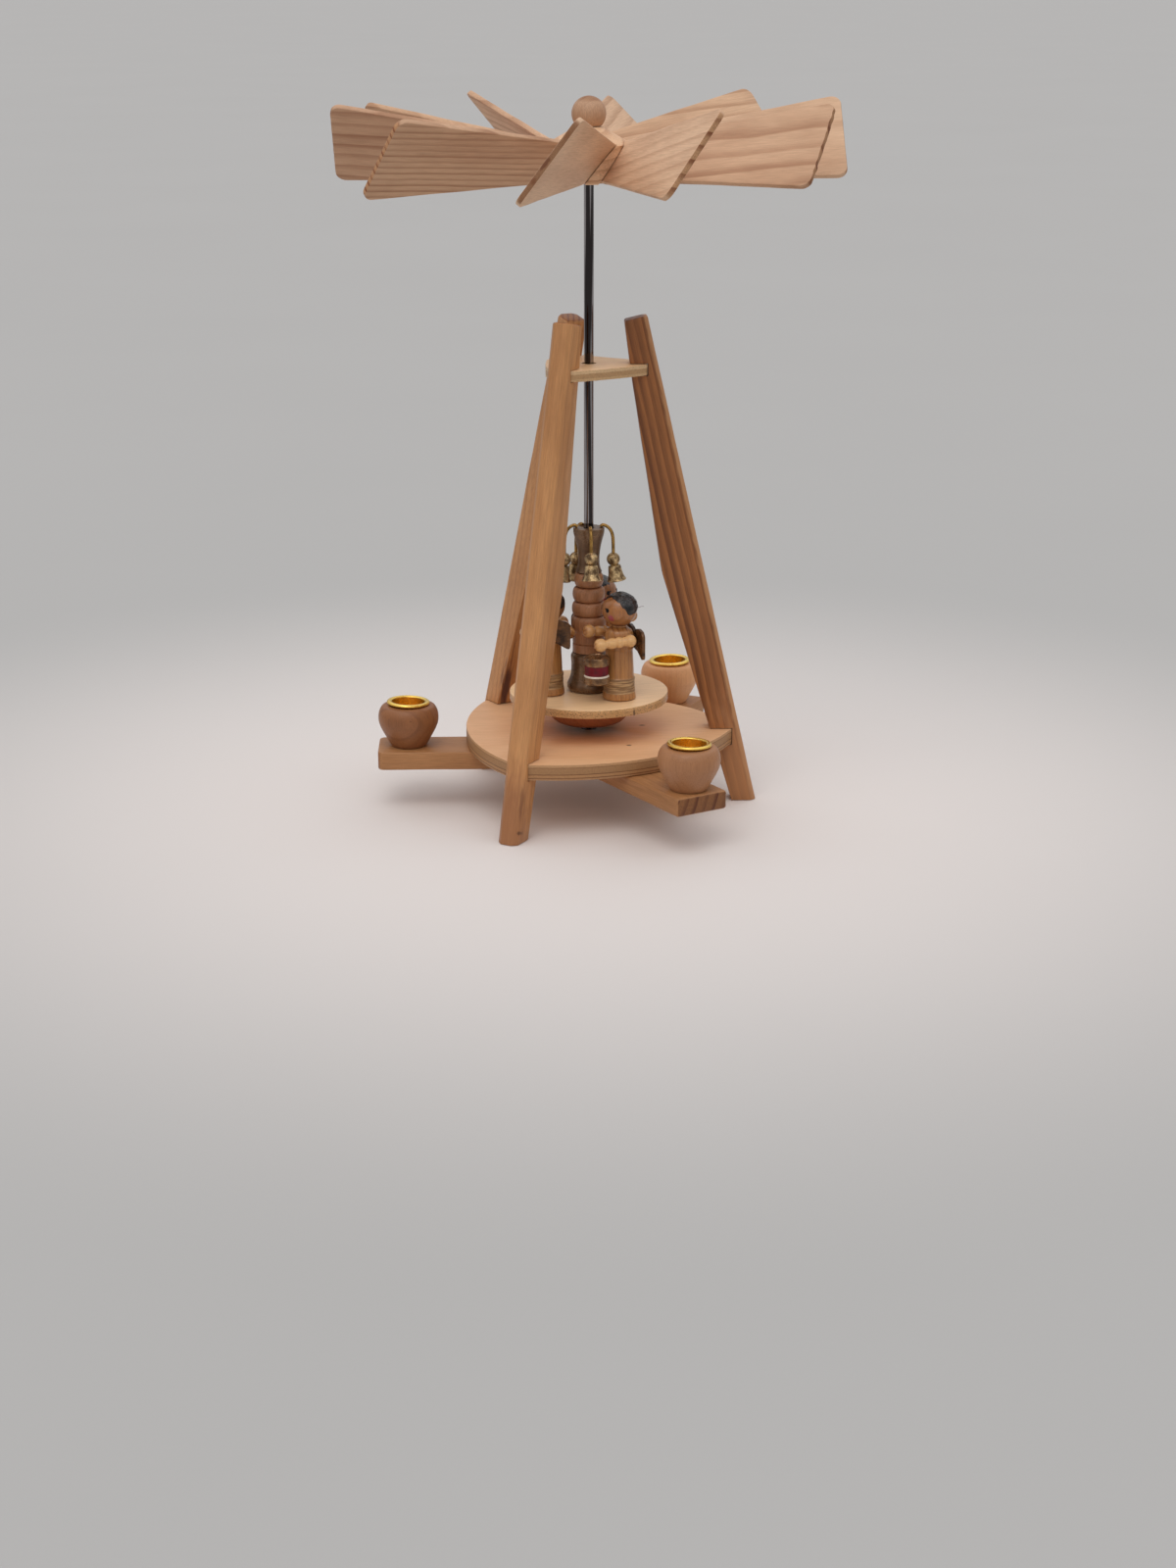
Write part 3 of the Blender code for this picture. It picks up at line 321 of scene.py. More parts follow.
    def facing(self, direction: Vector) -> Socket:
        """Return how squarely a face looks along a fixed direction, from 0 to 1."""
        normal = self.add("TexCoord").outputs["Normal"]
        return self.calc("ABSOLUTE", self.vector("DOT_PRODUCT", normal, tuple(direction)))

    def scaled(self, where: Socket, x: float, y: float, z: float) -> Socket:
        """Return coordinates multiplied axis by axis."""
        return self.vector("MULTIPLY", where, (x, y, z))

    def relief(self, height: object, depth: float, strength: float = 1.0) -> None:
        """Give the surface a fine relief from a height value.

        Args:
            height: Height value.
            depth: Height of the relief in metres.
            strength: How much of it shows.
        """
        bump = self.add("Bump")
        bump.inputs["Strength"].default_value = strength
        bump.inputs["Distance"].default_value = depth
        self.feed(bump.inputs["Height"], height)
        self.feed(self.shader.inputs["Normal"], bump.outputs["Normal"])

    def shaded(self, base: object, shade: object) -> Socket:
        """Return a colour multiplied by another."""
        return self.mix(1.0, base, shade, "MULTIPLY")

    def surface(self, colour: Socket, rough: Socket) -> None:
        """Give the shader its colour and its roughness."""
        self.feed(self.shader.inputs["Base Color"], colour)
        self.feed(self.shader.inputs["Roughness"], rough)

    def settle(self, **values: float) -> None:
        """Set plain numbers on the shader's own sockets, named with underscores for spaces."""
        for name, value in values.items():
            self.shader.inputs[name.replace("_", " ")].default_value = value


# Finishes


@dataclass(frozen=True)
class Mark:
    """A streak, stain, speck or painted highlight in wood, dark or pale, in the board's own frame."""

    place: Triple
    reach: Triple
    colour: Colour = tone(70, 38, 26)
    strength: float = 0.85


@dataclass(frozen=True)
class Cut:
    """How one board was sawn from the log: its growth rings and where their centre lies."""

    ring_gap: float
    pith: Point
    waver: float = 0.6 * MM
    taper: float = 0.0
    seed: float = 0.0
    tint: Colour = (1.0, 1.0, 1.0)
    end_shade: float = 0.7
    ring_strength: float = 1.0
    late_start: float = 0.5


@dataclass(frozen=True)
class WoodFinish:
    """Lacquered or bare wood with growth rings, fibres and darker end grain."""

    early: Colour
    late: Colour
    ring_strength: float = 0.8
    fibre_strength: float = 0.16
    fibre_fineness: float = 3600.0
    fibre_stretch: float = 0.03
    cloud_scale: float = 70.0
    cloud_stretch: float = 0.35
    cloud_depth: float = 0.3
    waver_scale: float = 60.0
    waver_stretch: float = 0.3
    pore_scale: float = 2600.0
    end_late: Colour = (0.80, 0.56, 0.40)
    end_warmth: Colour = (1.0, 0.82, 0.64)
    seed_steps: Triple = (0.173, 0.091, 0.057)
    roughness: float = 0.5
    gloss: float = 0.0
    relief: float = 0.05 * MM

    def make(
        self, name: str, place: Matrix, cut: Cut, marks: Iterable[Mark] = (), extra: Callable | None = None
    ) -> Material:
        """Return the wood of one piece.

        Args:
            name: Name of the material.
            place: The board's frame, with X along its grain.
            cut: How the board was sawn.
            marks: Streaks and specks in it.
            extra: Function that takes the recipe and the colour and returns a colour.

        Returns:
            The material.
        """
        recipe = Recipe(name)
        early, late = tinted(self.early, cut.tint), tinted(self.late, cut.tint)
        where = recipe.board(place)
        shifted = recipe.vector("ADD", where, tuple(cut.seed * step for step in self.seed_steps))
        rings = self.rings(recipe, where, shifted, cut)
        drawn = recipe.scaled(shifted, self.fibre_stretch, 1.0, 1.0)
        fibres = recipe.noise(drawn, self.fibre_fineness, detail=3.0, rough=0.65)
        drifting = recipe.scaled(shifted, self.cloud_stretch, 1.0, 1.0)
        clouds = recipe.noise(drifting, self.cloud_scale, detail=3.0)
        base = recipe.mix(recipe.span(clouds, 0.3, 0.7, 0.0, self.cloud_depth), early, late)
        strength = self.ring_strength * cut.ring_strength
        base = recipe.mix(recipe.calc("MULTIPLY", rings, strength), base, late)
        dim, bright = 1.0 - self.fibre_strength * 1.4, 1.0 + self.fibre_strength * 0.55
        base = recipe.shaded(base, recipe.ramp(fibres, ((0.3, dim), (0.62, bright))))
        if cut.end_shade < 1.0:
            end = recipe.span(recipe.facing(place.to_3x3() @ X_AXIS), 0.6, 0.92)
            base = recipe.mix(end, base, self.cut_end(recipe, shifted, rings, cut))
        if extra is not None:
            base = extra(recipe, base)
        for mark in marks:
            base = self.marked(recipe, where, base, mark)
        rough = recipe.span(fibres, 0.25, 0.75, self.roughness + 0.09, self.roughness - 0.07)
        recipe.surface(base, rough)
        recipe.relief(recipe.calc("ADD", recipe.calc("MULTIPLY", fibres, 0.7), rings), self.relief)
        recipe.settle(Specular_IOR_Level=0.36, Coat_Weight=self.gloss, Coat_Roughness=0.28)
        return recipe.material

    def cut_end(self, recipe: Recipe, shifted: Socket, rings: Socket, cut: Cut) -> Socket:
        """Return the colour of the sawn ends, darker and warmer, with open pores.

        Args:
            recipe: The wood's node tree.
            shifted: Board coordinates, moved by the seed.
            rings: How far each point lies in late wood.
            cut: How the board was sawn.

        Returns:
            The colour.
        """
        early, late = tinted(self.early, cut.tint), tinted(self.late, cut.tint)
        pores = recipe.ramp(recipe.noise(shifted, self.pore_scale, detail=3.0), ((0.35, 0.7), (0.6, 1.0)))
        colour = recipe.shaded(recipe.mix(rings, early, tinted(late, self.end_late)), pores)
        return recipe.shaded(colour, tuple(cut.end_shade * share for share in self.end_warmth))

    def rings(self, recipe: Recipe, where: Socket, shifted: Socket, cut: Cut) -> Socket:
        """Return how far each point lies in a ring's dark late wood, from 0 to 1.

        Args:
            recipe: The wood's node tree.
            where: Board coordinates.
            shifted: The same, moved by the seed.
            cut: How the board was sawn.

        Returns:
            The share of late wood.
        """
        along, across, up = recipe.parts(where)
        aside = recipe.calc("SUBTRACT", across, cut.pith[0])
        above = recipe.calc("SUBTRACT", up, cut.pith[1])
        square = recipe.calc(
            "ADD", recipe.calc("MULTIPLY", aside, aside), recipe.calc("MULTIPLY", above, above)
        )
        waver = recipe.noise(recipe.scaled(shifted, self.waver_stretch, 1.0, 1.0), self.waver_scale)
        waver = recipe.calc("MULTIPLY", recipe.calc("SUBTRACT", waver, 0.5), 4.0 * cut.waver)
        radius = recipe.calc("ADD", recipe.calc("SQRT", square), waver)
        radius = recipe.calc("ADD", radius, recipe.calc("MULTIPLY", along, cut.taper))
        count = recipe.calc("DIVIDE", radius, cut.ring_gap)
        each = recipe.add("TexWhiteNoise", noise_dimensions="1D")
        recipe.feed(each.inputs["W"], recipe.calc("ADD", recipe.calc("FLOOR", count), cut.seed))
        rise = cut.late_start + (1.0 - cut.late_start) * 0.55
        stops = ((0.0, 0.0), (cut.late_start, 0.08), (rise, 0.85), (0.92, 1.0), (1.0, 0.0))
        band = recipe.ramp(recipe.calc("FRACT", count), stops)
        return recipe.calc("MULTIPLY", band, recipe.span(each.outputs["Value"], 0.0, 1.0, 0.5, 1.0))

    @staticmethod
    def marked(recipe: Recipe, where: Socket, base: Socket, mark: Mark) -> Socket:
        """Return the colour with one mark laid over it.

        Args:
            recipe: The wood's node tree.
            where: Board coordinates.
            base: Colour of the wood.
            mark: The streak, stain or speck.

        Returns:
            The colour.
        """
        offset = recipe.vector("SUBTRACT", where, mark.place)
        squeezed = recipe.vector("DIVIDE", offset, mark.reach)
        ragged = recipe.noise(recipe.scaled(where, 0.15, 1.0, 1.0), 900.0, detail=2.0)
        distance = recipe.vector("LENGTH", squeezed, tuple(ORIGIN))
        distance = recipe.calc("ADD", distance, recipe.calc("MULTIPLY", ragged, 0.7))
        return recipe.mix(recipe.span(distance, 0.75, 1.3, mark.strength, 0.0), base, mark.colour)


@dataclass(frozen=True)
class PlywoodFinish:
    """Thin board glued from layers: fine veneer on its faces and striped edges."""

    veneer: WoodFinish
    bottom: float
    top: float
    layers: tuple[tuple[float, Colour], ...]
    speckle: float = 0.35
    waver: float = 0.35 * MM
    pit_scale: float = 1500.0

    def edge(self, recipe: Recipe, base: Socket) -> Socket:
        """Return the colour with the layered edge on the upright faces.

        Args:
            recipe: The board's node tree.
            base: Colour of the veneer.

        Returns:
            The colour.
        """
        place = recipe.here()
        waver = recipe.calc("MULTIPLY", recipe.noise(place, 240.0), self.waver)
        height = recipe.calc("ADD", recipe.parts(place)[2], waver)
        share = recipe.add("MapRange")
        for socket, value in zip(share.inputs, (height, self.bottom, self.top, 0.0, 1.0)):
            recipe.feed(socket, value)
        bands = recipe.ramp(share.outputs[0], self.layers, steps=True)
        pits = recipe.noise(recipe.scaled(place, 1.0, 1.0, 1.9), self.pit_scale, detail=4.0, rough=0.7)
        stops = ((0.34, 1.0 - self.speckle), (0.52, 1.0), (0.75, 1.08))
        bands = recipe.shaded(bands, recipe.ramp(pits, stops))
        upright = recipe.span(recipe.facing(Z_AXIS), 0.45, 0.85, 1.0, 0.0)
        return recipe.mix(upright, base, bands)

    def make(self, name: str, cut: Cut, azimuth: float, marks: Iterable[Mark] = ()) -> Material:
        """Return the board's material, with its veneer's grain along an azimuth."""
        return self.veneer.make(name, turn(azimuth), cut, marks, self.edge)


@dataclass(frozen=True)
class PaintFinish:
    """Metallic paint brushed on wood: two tones in patches, with darker and lighter brush strokes."""

    light: Colour
    dark: Colour
    patch: float = 700.0
    metallic: float = 0.75
    roughness: float = 0.38
    relief: float = 0.05 * MM
    squash: Triple = (1.0, 1.0, 1.0)

    def make(self, name: str) -> Material:
        """Return the paint as a material.

        Args:
            name: Name of the material.

        Returns:
            The material.
        """
        recipe = Recipe(name)
        where = recipe.scaled(recipe.here(), *self.squash)
        patches = recipe.noise(where, self.patch, detail=4.0, rough=0.62)
        strokes = recipe.noise(recipe.scaled(where, 1.0, 1.0, 3.5), self.patch * 2.4, detail=2.0)
        base = recipe.mix(recipe.span(patches, 0.36, 0.66), self.dark, self.light)
        base = recipe.shaded(base, recipe.ramp(strokes, ((0.3, 0.78), (0.66, 1.1))))
        recipe.surface(base, recipe.span(patches, 0.3, 0.7, self.roughness + 0.14, self.roughness - 0.06))
        recipe.relief(recipe.calc("ADD", patches, strokes), self.relief)
        recipe.settle(Metallic=self.metallic)
        return recipe.material


@dataclass(frozen=True)
class MetalFinish:
    """Bare metal: faint draw lines, handling marks, a little oxide and, by streak, painted reflections."""

    colour: Colour
    tarnish_and_reflection: Colour
    roughness: float
    lines: Triple = (1.0, 1.0, 12.0)
    haze: float = 0.2
    streak: float = 0.0
    cloud_scale: float = 260.0
    line_scale: float = 900.0
    line_depth: float = 0.01 * MM

    def make(self, name: str) -> Material:
        """Return the metal as a material.

        Args:
            name: Name of the material.

        Returns:
            The material.
        """
        recipe = Recipe(name)
        where = recipe.here()
        clouds = recipe.noise(where, self.cloud_scale, detail=4.0, rough=0.6)
        lines = recipe.noise(recipe.scaled(where, *self.lines), self.line_scale, detail=2.0)
        base = recipe.mix(recipe.span(clouds, 0.42, 0.72, 0.0, self.haze), self.colour, self.tarnish_and_reflection)
        # Painted reflection: dark streaks along the draw lines stand for the room mirrored in polished
        # steel.
        base = recipe.mix(recipe.span(lines, 0.44, 0.54, 0.0, self.streak), base, self.tarnish_and_reflection)
        wear = recipe.calc("MULTIPLY", recipe.calc("ADD", clouds, lines), 0.5)
        recipe.surface(base, recipe.span(wear, 0.3, 0.7, self.roughness, self.roughness * 1.9))
        recipe.relief(lines, self.line_depth, 0.6)
        recipe.settle(Metallic=1.0)
        return recipe.material


@dataclass(frozen=True)
class EnamelFinish:
    """Glossy coloured lacquer with brush marks and thin places."""

    colour: Colour
    thin: Colour
    roughness: float = 0.22
    strokes: Triple = (1.0, 1.0, 0.25)
    stroke_scale: float = 1100.0
    cloud_scale: float = 420.0
    relief: float = 0.06 * MM
    coat: float = 0.35

    def make(self, name: str) -> Material:
        """Return the lacquer as a material.

        Args:
            name: Name of the material.

        Returns:
            The material.
        """
        recipe = Recipe(name)
        where = recipe.here()
        drawn = recipe.scaled(where, *self.strokes)
        brushed = recipe.noise(drawn, self.stroke_scale, detail=3.0, rough=0.6)
        clouds = recipe.noise(where, self.cloud_scale, detail=3.0)
        base = recipe.mix(recipe.span(clouds, 0.4, 0.75), self.colour, self.thin)
        recipe.surface(base, recipe.span(brushed, 0.3, 0.7, self.roughness, self.roughness + 0.18))
        recipe.relief(brushed, self.relief)
        recipe.settle(Specular_IOR_Level=0.3 + self.coat * 0.7, Coat_Weight=self.coat, Coat_Roughness=0.12)
        return recipe.material


PINE = WoodFinish(early=tone(202, 146, 94), late=tone(150, 94, 52), roughness=0.44, gloss=0.12)
STRIPED_PINE = WoodFinish(
    early=tone(166, 106, 58), late=tone(100, 55, 26), ring_strength=0.95, roughness=0.44, gloss=0.12
)
ARM_PINE = WoodFinish(early=tone(180, 128, 82), late=tone(136, 88, 50), roughness=0.5, gloss=0.08)
BLADE_PINE = WoodFinish(
    early=tone(224, 186, 152), late=tone(164, 114, 80), ring_strength=0.85, fibre_strength=0.12,
    roughness=0.6,
)
HUB_PINE = WoodFinish(early=tone(238, 196, 156), late=tone(186, 134, 96), roughness=0.5)
KNOB_WOOD = WoodFinish(
    early=tone(198, 158, 126), late=tone(174, 132, 100), ring_strength=0.45, roughness=0.5
)
HOLDER_WOOD = WoodFinish(
    early=tone(154, 100, 60), late=tone(118, 72, 42), ring_strength=0.5, roughness=0.46, gloss=0.1
)
PALE_HOLDER_WOOD = WoodFinish(
    early=tone(174, 123, 84), late=tone(136, 90, 58), ring_strength=0.14, fibre_strength=0.12,
    roughness=0.46, gloss=0.1,
)
BRIGHT_HOLDER_WOOD = WoodFinish(
    early=tone(228, 168, 116), late=tone(196, 136, 88), ring_strength=0.14, fibre_strength=0.08,
    roughness=0.46, gloss=0.1,
)
VENEER = WoodFinish(
    early=tone(228, 180, 136), late=tone(208, 152, 106), ring_strength=0.3, fibre_strength=0.1,
    fibre_fineness=2600.0, roughness=0.5,
)
TABLE_VENEER = WoodFinish(
    early=tone(250, 210, 162), late=tone(230, 184, 134), ring_strength=0.3, fibre_strength=0.1,
    fibre_fineness=2600.0, roughness=0.42, gloss=0.15,
)
DOME_WOOD = WoodFinish(early=tone(164, 98, 64), late=tone(120, 68, 44), roughness=0.36, ring_strength=0.4)
COLUMN_WOOD = WoodFinish(
    early=tone(184, 128, 88), late=tone(138, 88, 56), ring_strength=0.35, fibre_strength=0.2,
    roughness=0.42, gloss=0.15,
)
FIGURE_WOOD = WoodFinish(
    early=tone(192, 136, 80), late=tone(144, 90, 46), ring_strength=0.5, fibre_strength=0.24,
    roughness=0.3, gloss=0.3,
)
LIMB_WOOD = WoodFinish(
    early=tone(232, 184, 124), late=tone(204, 148, 88), ring_strength=0.4, fibre_strength=0.14,
    roughness=0.28, gloss=0.4,
)
HEAD_WOOD = WoodFinish(
    early=tone(174, 116, 68), late=tone(120, 72, 38), ring_strength=0.6, fibre_strength=0.24,
    roughness=0.28, gloss=0.4,
)
BRONZE = PaintFinish(
    light=tone(132, 102, 74), dark=tone(108, 80, 56), patch=120.0, metallic=0.4, roughness=0.26
)
WING_BRONZE = PaintFinish(
    light=tone(120, 82, 50), dark=tone(58, 38, 24), patch=300.0, metallic=0.4, roughness=0.26
)
HOOP_BRONZE = PaintFinish(
    light=tone(160, 120, 80), dark=tone(96, 68, 44), patch=300.0, metallic=0.4, roughness=0.24
)
OLD_GOLD = PaintFinish(
    light=tone(226, 194, 142), dark=tone(98, 74, 46), patch=420.0, metallic=0.55, roughness=0.24,
    relief=0.2 * MM,
)
BAND_GOLD = PaintFinish(
    light=tone(202, 162, 114), dark=tone(140, 104, 68), patch=420.0, metallic=0.2, roughness=0.36,
    squash=(0.3, 0.3, 3.4),
)
GILT_WIRE = MetalFinish(colour=tone(192, 150, 84), tarnish_and_reflection=tone(88, 64, 38), roughness=0.2, haze=0.8)
BRASS = MetalFinish(colour=tone(255, 217, 112), tarnish_and_reflection=tone(242, 194, 90), roughness=0.2, haze=0.3)
# On the shaft the dark colour is mostly painted reflection, drawn in streaks along the stretched lines.
STEEL = MetalFinish(
    colour=tone(160, 155, 156), tarnish_and_reflection=tone(44, 39, 39), roughness=0.08, lines=(0.75, 0.75, 0.01),
    haze=0.1, streak=0.95,
)
# The hair's grey thin colour is partly thin paint and partly painted highlight on the black.
BLACK_ENAMEL = EnamelFinish(
    colour=tone(9, 7, 8), thin=tone(62, 54, 54), roughness=0.2, strokes=(1.0, 1.0, 0.5), relief=0.2 * MM,
    coat=0.2,
)
CRIMSON_ENAMEL = EnamelFinish(colour=tone(112, 6, 26), thin=tone(78, 6, 18), roughness=0.4, coat=0.05)
EYE_ENAMEL = EnamelFinish(colour=tone(14, 12, 13), thin=tone(20, 16, 16), roughness=0.4, coat=0.0)
SCARLET_ENAMEL = EnamelFinish(colour=tone(178, 52, 44), thin=tone(196, 84, 66), roughness=0.4)
WHITE_ENAMEL = EnamelFinish(colour=tone(222, 208, 190), thin=tone(200, 180, 150), roughness=0.4)
COVER_ENAMEL = EnamelFinish(colour=tone(150, 40, 36), thin=tone(126, 34, 30), roughness=0.45)
CHEEK_ROSE = tone(160, 58, 80)
BASE_LAYERS = (
    (0.0, tone(180, 136, 94)), (0.14, tone(132, 90, 56)), (0.20, tone(178, 132, 88)),
    (0.36, tone(126, 86, 54)), (0.42, tone(164, 122, 82)), (0.80, tone(142, 102, 66)),
    (0.85, tone(186, 142, 100)),
)
UPPER_LAYERS = ((0.0, tone(206, 168, 122)), (0.28, tone(186, 146, 102)), (0.72, tone(216, 180, 136)))
TABLE_LAYERS = ((0.0, tone(210, 160, 106)), (0.34, tone(202, 152, 98)), (0.66, tone(214, 166, 112)))


# Mesh operators


def flowing(points: Sequence[Point], steps: int = 4) -> list[Point]:
    """Return a smooth run through a few profile points.

    Args:
        points: Radius and height of each point, in order.
        steps: Number of parts between two points.

    Returns:
        The points of the run, with both ends.
    """
    run = [Vector(point) for point in points]
    run = [run[0] * 2 - run[1], *run, run[-1] * 2 - run[-2]]
    made: list[Point] = []
    for before, start, end, after in zip(run, run[1:], run[2:], run[3:]):
        for step in range(steps):
            t = step / steps
            place = (
                start * 2
                + (end - before) * t
                + (before * 2 - start * 5 + end * 4 - after) * t**2
                + (start * 3 - before - end * 3 + after) * t**3
            ) / 2
            made.append((max(place.x, 0.0), place.y))
    made.append(tuple(points[-1]))
    return made


def ball_run(centre: Point, radius: float, start: float, end: float, steps: int) -> list[Point]:
    """Return profile points round a ball, between two angles above its level.

    Args:
        centre: Radius and height of the ball's centre.
        radius: The ball's radius.
        start: First angle in degrees.
        end: Last angle.
        steps: Number of parts.

    Returns:
        The points, in order.
    """
    run = []
    for step in range(steps + 1):
        angle = math.radians(start + (end - start) * step / steps)
        run.append((max(centre[0] + radius * math.cos(angle), 0.0), centre[1] + radius * math.sin(angle)))
    return run


def lathe(profile: Sequence[Point], steps: int, closed: bool = False) -> Cage:
    """Spin a profile into a turned shape.

    Args:
        profile: Radius and height of each point, in order.
        steps: Number of parts round the axis.
        closed: Whether the last point joins the first, as round a bore.

    Returns:
        The cage, with its faces pointing outwards.
    """
    cage = bmesh.new()
    verts = [cage.verts.new((radius, 0.0, height)) for radius, height in profile]
    edges = [cage.edges.new(pair) for pair in zip(verts, verts[1:])]
    if closed:
        edges.append(cage.edges.new((verts[-1], verts[0])))
    bmesh.ops.spin(
        cage, geom=verts + edges, cent=(0.0, 0.0, 0.0), axis=(0.0, 0.0, 1.0), dvec=(0.0, 0.0, 0.0),
        angle=math.tau, steps=steps, use_merge=True, use_duplicate=False,
    )
    bmesh.ops.remove_doubles(cage, verts=cage.verts, dist=WELD)
    bmesh.ops.recalc_face_normals(cage, faces=cage.faces)
    return cage


def thicken(cage: Cage, thickness: float) -> None:
    """Raise a flat cage into a closed slab.

    Args:
        cage: Flat faces.
        thickness: How far they rise.
    """
    raised = bmesh.ops.extrude_face_region(cage, geom=list(cage.faces))
    lifted = [item for item in raised["geom"] if isinstance(item, bmesh.types.BMVert)]
    bmesh.ops.translate(cage, verts=lifted, vec=(0.0, 0.0, thickness))
    bmesh.ops.recalc_face_normals(cage, faces=cage.faces)


def slab(outline: Sequence[Point], thickness: float) -> Cage:
    """Make a slab from a flat outline.

    Args:
        outline: Its corners, in order.
        thickness: Its thickness.

    Returns:
        The cage, centred on z = 0.
    """
    cage = bmesh.new()
    cage.faces.new([cage.verts.new((x, y, -thickness / 2)) for x, y in outline])
    thicken(cage, thickness)
    return cage


def soften(cage: Cage, edges: Iterable[Edge], width: float, segments: int = 2) -> None:
    """Bevel some edges of a cage.

    Args:
        cage: The shape.
        edges: Edges to round.
        width: Width of the rounding.
        segments: Number of strips in it.
    """
    chosen = [edge for edge in edges if edge.is_valid and len(edge.link_faces) == 2]
    bmesh.ops.bevel(
        cage, geom=chosen, offset=width, offset_type="OFFSET", segments=segments, profile=0.5,
        affect="EDGES", clamp_overlap=True, material=-1,
    )


def sharp_edges(cage: Cage, least: float = 40.0) -> list[Edge]:
    """Return the edges whose faces meet at more than an angle.

    Args:
        cage: The shape.
        least: The angle in degrees.

    Returns:
        The edges.
    """
    return [
        edge for edge in cage.edges
        if len(edge.link_faces) == 2 and edge.calc_face_angle(0.0) > math.radians(least)
    ]


def climb(edge: Edge) -> float:
    """Return how far an edge runs up or down."""
    return abs(edge.verts[0].co.z - edge.verts[1].co.z)


def least_of(edge: Edge, axis: int = 0) -> float:
    """Return the lower of an edge's two coordinates along an axis, X unless told."""
    return min(vert.co[axis] for vert in edge.verts)


def cut_plane(cage: Cage, place: Vector, normal: Vector, clear_inner: bool = False) -> None:
    """Cut a cage along a plane.

    Args:
        cage: The shape.
        place: A point on the plane.
        normal: The plane's direction.
        clear_inner: Whether the part behind it goes.
    """
    geom = [*cage.verts, *cage.edges, *cage.faces]
    bmesh.ops.bisect_plane(
        cage, geom=geom, dist=WELD, plane_co=place, plane_no=normal, clear_inner=clear_inner,
    )


def slice_across(cage: Cage, axis: Vector, start: float, end: float, count: int) -> None:
    """Cut a cage into lengths, so that its long faces can sway.

    Args:
        cage: The shape.
        axis: Direction that the cuts step along.
        start: Where its first length starts.
        end: Where its last length ends.
        count: Number of lengths.
    """
    for step in range(1, count):
        cut_plane(cage, axis * (start + (end - start) * step / count), axis)


def sway(cage: Cage, depth: float, scale: float, seed: float) -> None:
    """Move a cage's points a little, as hand sanding and drying leave them.

    Args:
        cage: The shape.
        depth: How far a point moves at most.
        scale: Waves to a metre.
        seed: Number that sets this piece apart.
    """
    for vert in cage.verts:
        where = vert.co * scale + Vector((seed, seed * 0.7, seed * 1.3))
        vert.co += noise.noise_vector(where) * depth


def paint_bands(cage: Cage, bands: Sequence[tuple[float, float, int]]) -> None:
    """Give faces whose middle lies between two heights another of the piece's finishes.

    Args:
        cage: The shape.
        bands: Low and high edge, and the finish's index, of each band.
    """
    for face in cage.faces:
        height = face.calc_center_median().z
        for low, high, index in bands:
            if low <= height <= high:
                face.material_index = index


def add_object(name: str, data: bpy.types.ID) -> bpy.types.Object:
    """Put a new object into the scene.

    Args:
        name: Its name.
        data: Its mesh, curve, camera or light.

    Returns:
        The object.
    """
    thing = bpy.data.objects.new(name, data)
    bpy.context.scene.collection.objects.link(thing)
    return thing


def publish(
    name: str,
    cage: Cage,
    materials: Sequence[Material],
    body: str,
    slot: str,
    nodes: Sequence[str] = (),
    place: Matrix | None = None,
) -> bpy.types.Object:
    """Turn a cage into a finished piece in the frame.

    Args:
        name: Name of the piece.
        cage: Its shape, which is freed.
        materials: Its finishes, in the order of the faces' indices.
        body: The body that it moves with.
        slot: The record's material slot.
        nodes: The frame's nodes that it stands for.
        place: Where it goes; its mesh takes this up.

    Returns:
        The piece.
    """
    if place is not None:
        cage.transform(place)
    mesh = bpy.data.meshes.new(name)
    cage.to_mesh(mesh)
    cage.free()
    mesh.shade_smooth()
    mesh.set_sharp_from_angle(angle=CREASE)
    for material in materials:
        mesh.materials.append(material)
    return settle_piece(add_object(name, mesh), body, slot, nodes)


def settle_piece(piece: bpy.types.Object, body: str, slot: str, nodes: Sequence[str]) -> bpy.types.Object:
    """Let a piece ride on its body and stand for its nodes.

    Args:
        piece: The object.
        body: The body that it moves with.
        slot: The record's material slot; not used.
        nodes: The nodes that it stands for.

    Returns:
        The piece.
    """
    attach(piece, body)
    if nodes:
        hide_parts(*nodes)
    log.info("%s rides on %s", piece.name, body)
    return piece


def bend_wire(
    name: str, places: Sequence[Vector], radius: float, material: Material
) -> bpy.types.Object:
    """Return a round wire that runs smoothly past some places.

    Args:
        name: Name of the piece.
        places: Where the wire runs, in metres.
        radius: Half its thickness.
        material: Its finish.

    Returns:
        The wire, linked to the scene.
    """
    curve = bpy.data.curves.new(name, "CURVE")
    curve.dimensions = "3D"
    curve.bevel_depth = radius
    curve.bevel_resolution = WIRE_ROUND
    curve.use_fill_caps = True
    spline = curve.splines.new("NURBS")
    spline.points.add(len(places) - 1)
    for point, place in zip(spline.points, places):
        point.co = (*place, 1.0)
    spline.use_endpoint_u = True
    spline.order_u = 3
    spline.resolution_u = WIRE_ROUND
    curve.materials.append(material)
    return add_object(name, curve)


def dress_node(node: str, material: Material) -> None:
    """Give a carried-over node a finish of its own.

    Args:
        node: Name of the node.
        material: Its finish.
    """
    for slot in frame["nodes"][node].material_slots:
        slot.material = material
    log.info("%s keeps its shape in %s", node, material.name)


# The stand


@dataclass(frozen=True)
class Plate:
    """Sizes of a three-sided plate whose blunt tips are let into the legs."""

    top: float
    thickness: float
    mid: float
    tip_wall: float
    shoulder: float
    facet: float
    hole: float
    rim_round: float

    @property
    def bottom(self) -> float:
        """Return the height of the lower face."""
        return self.top - self.thickness


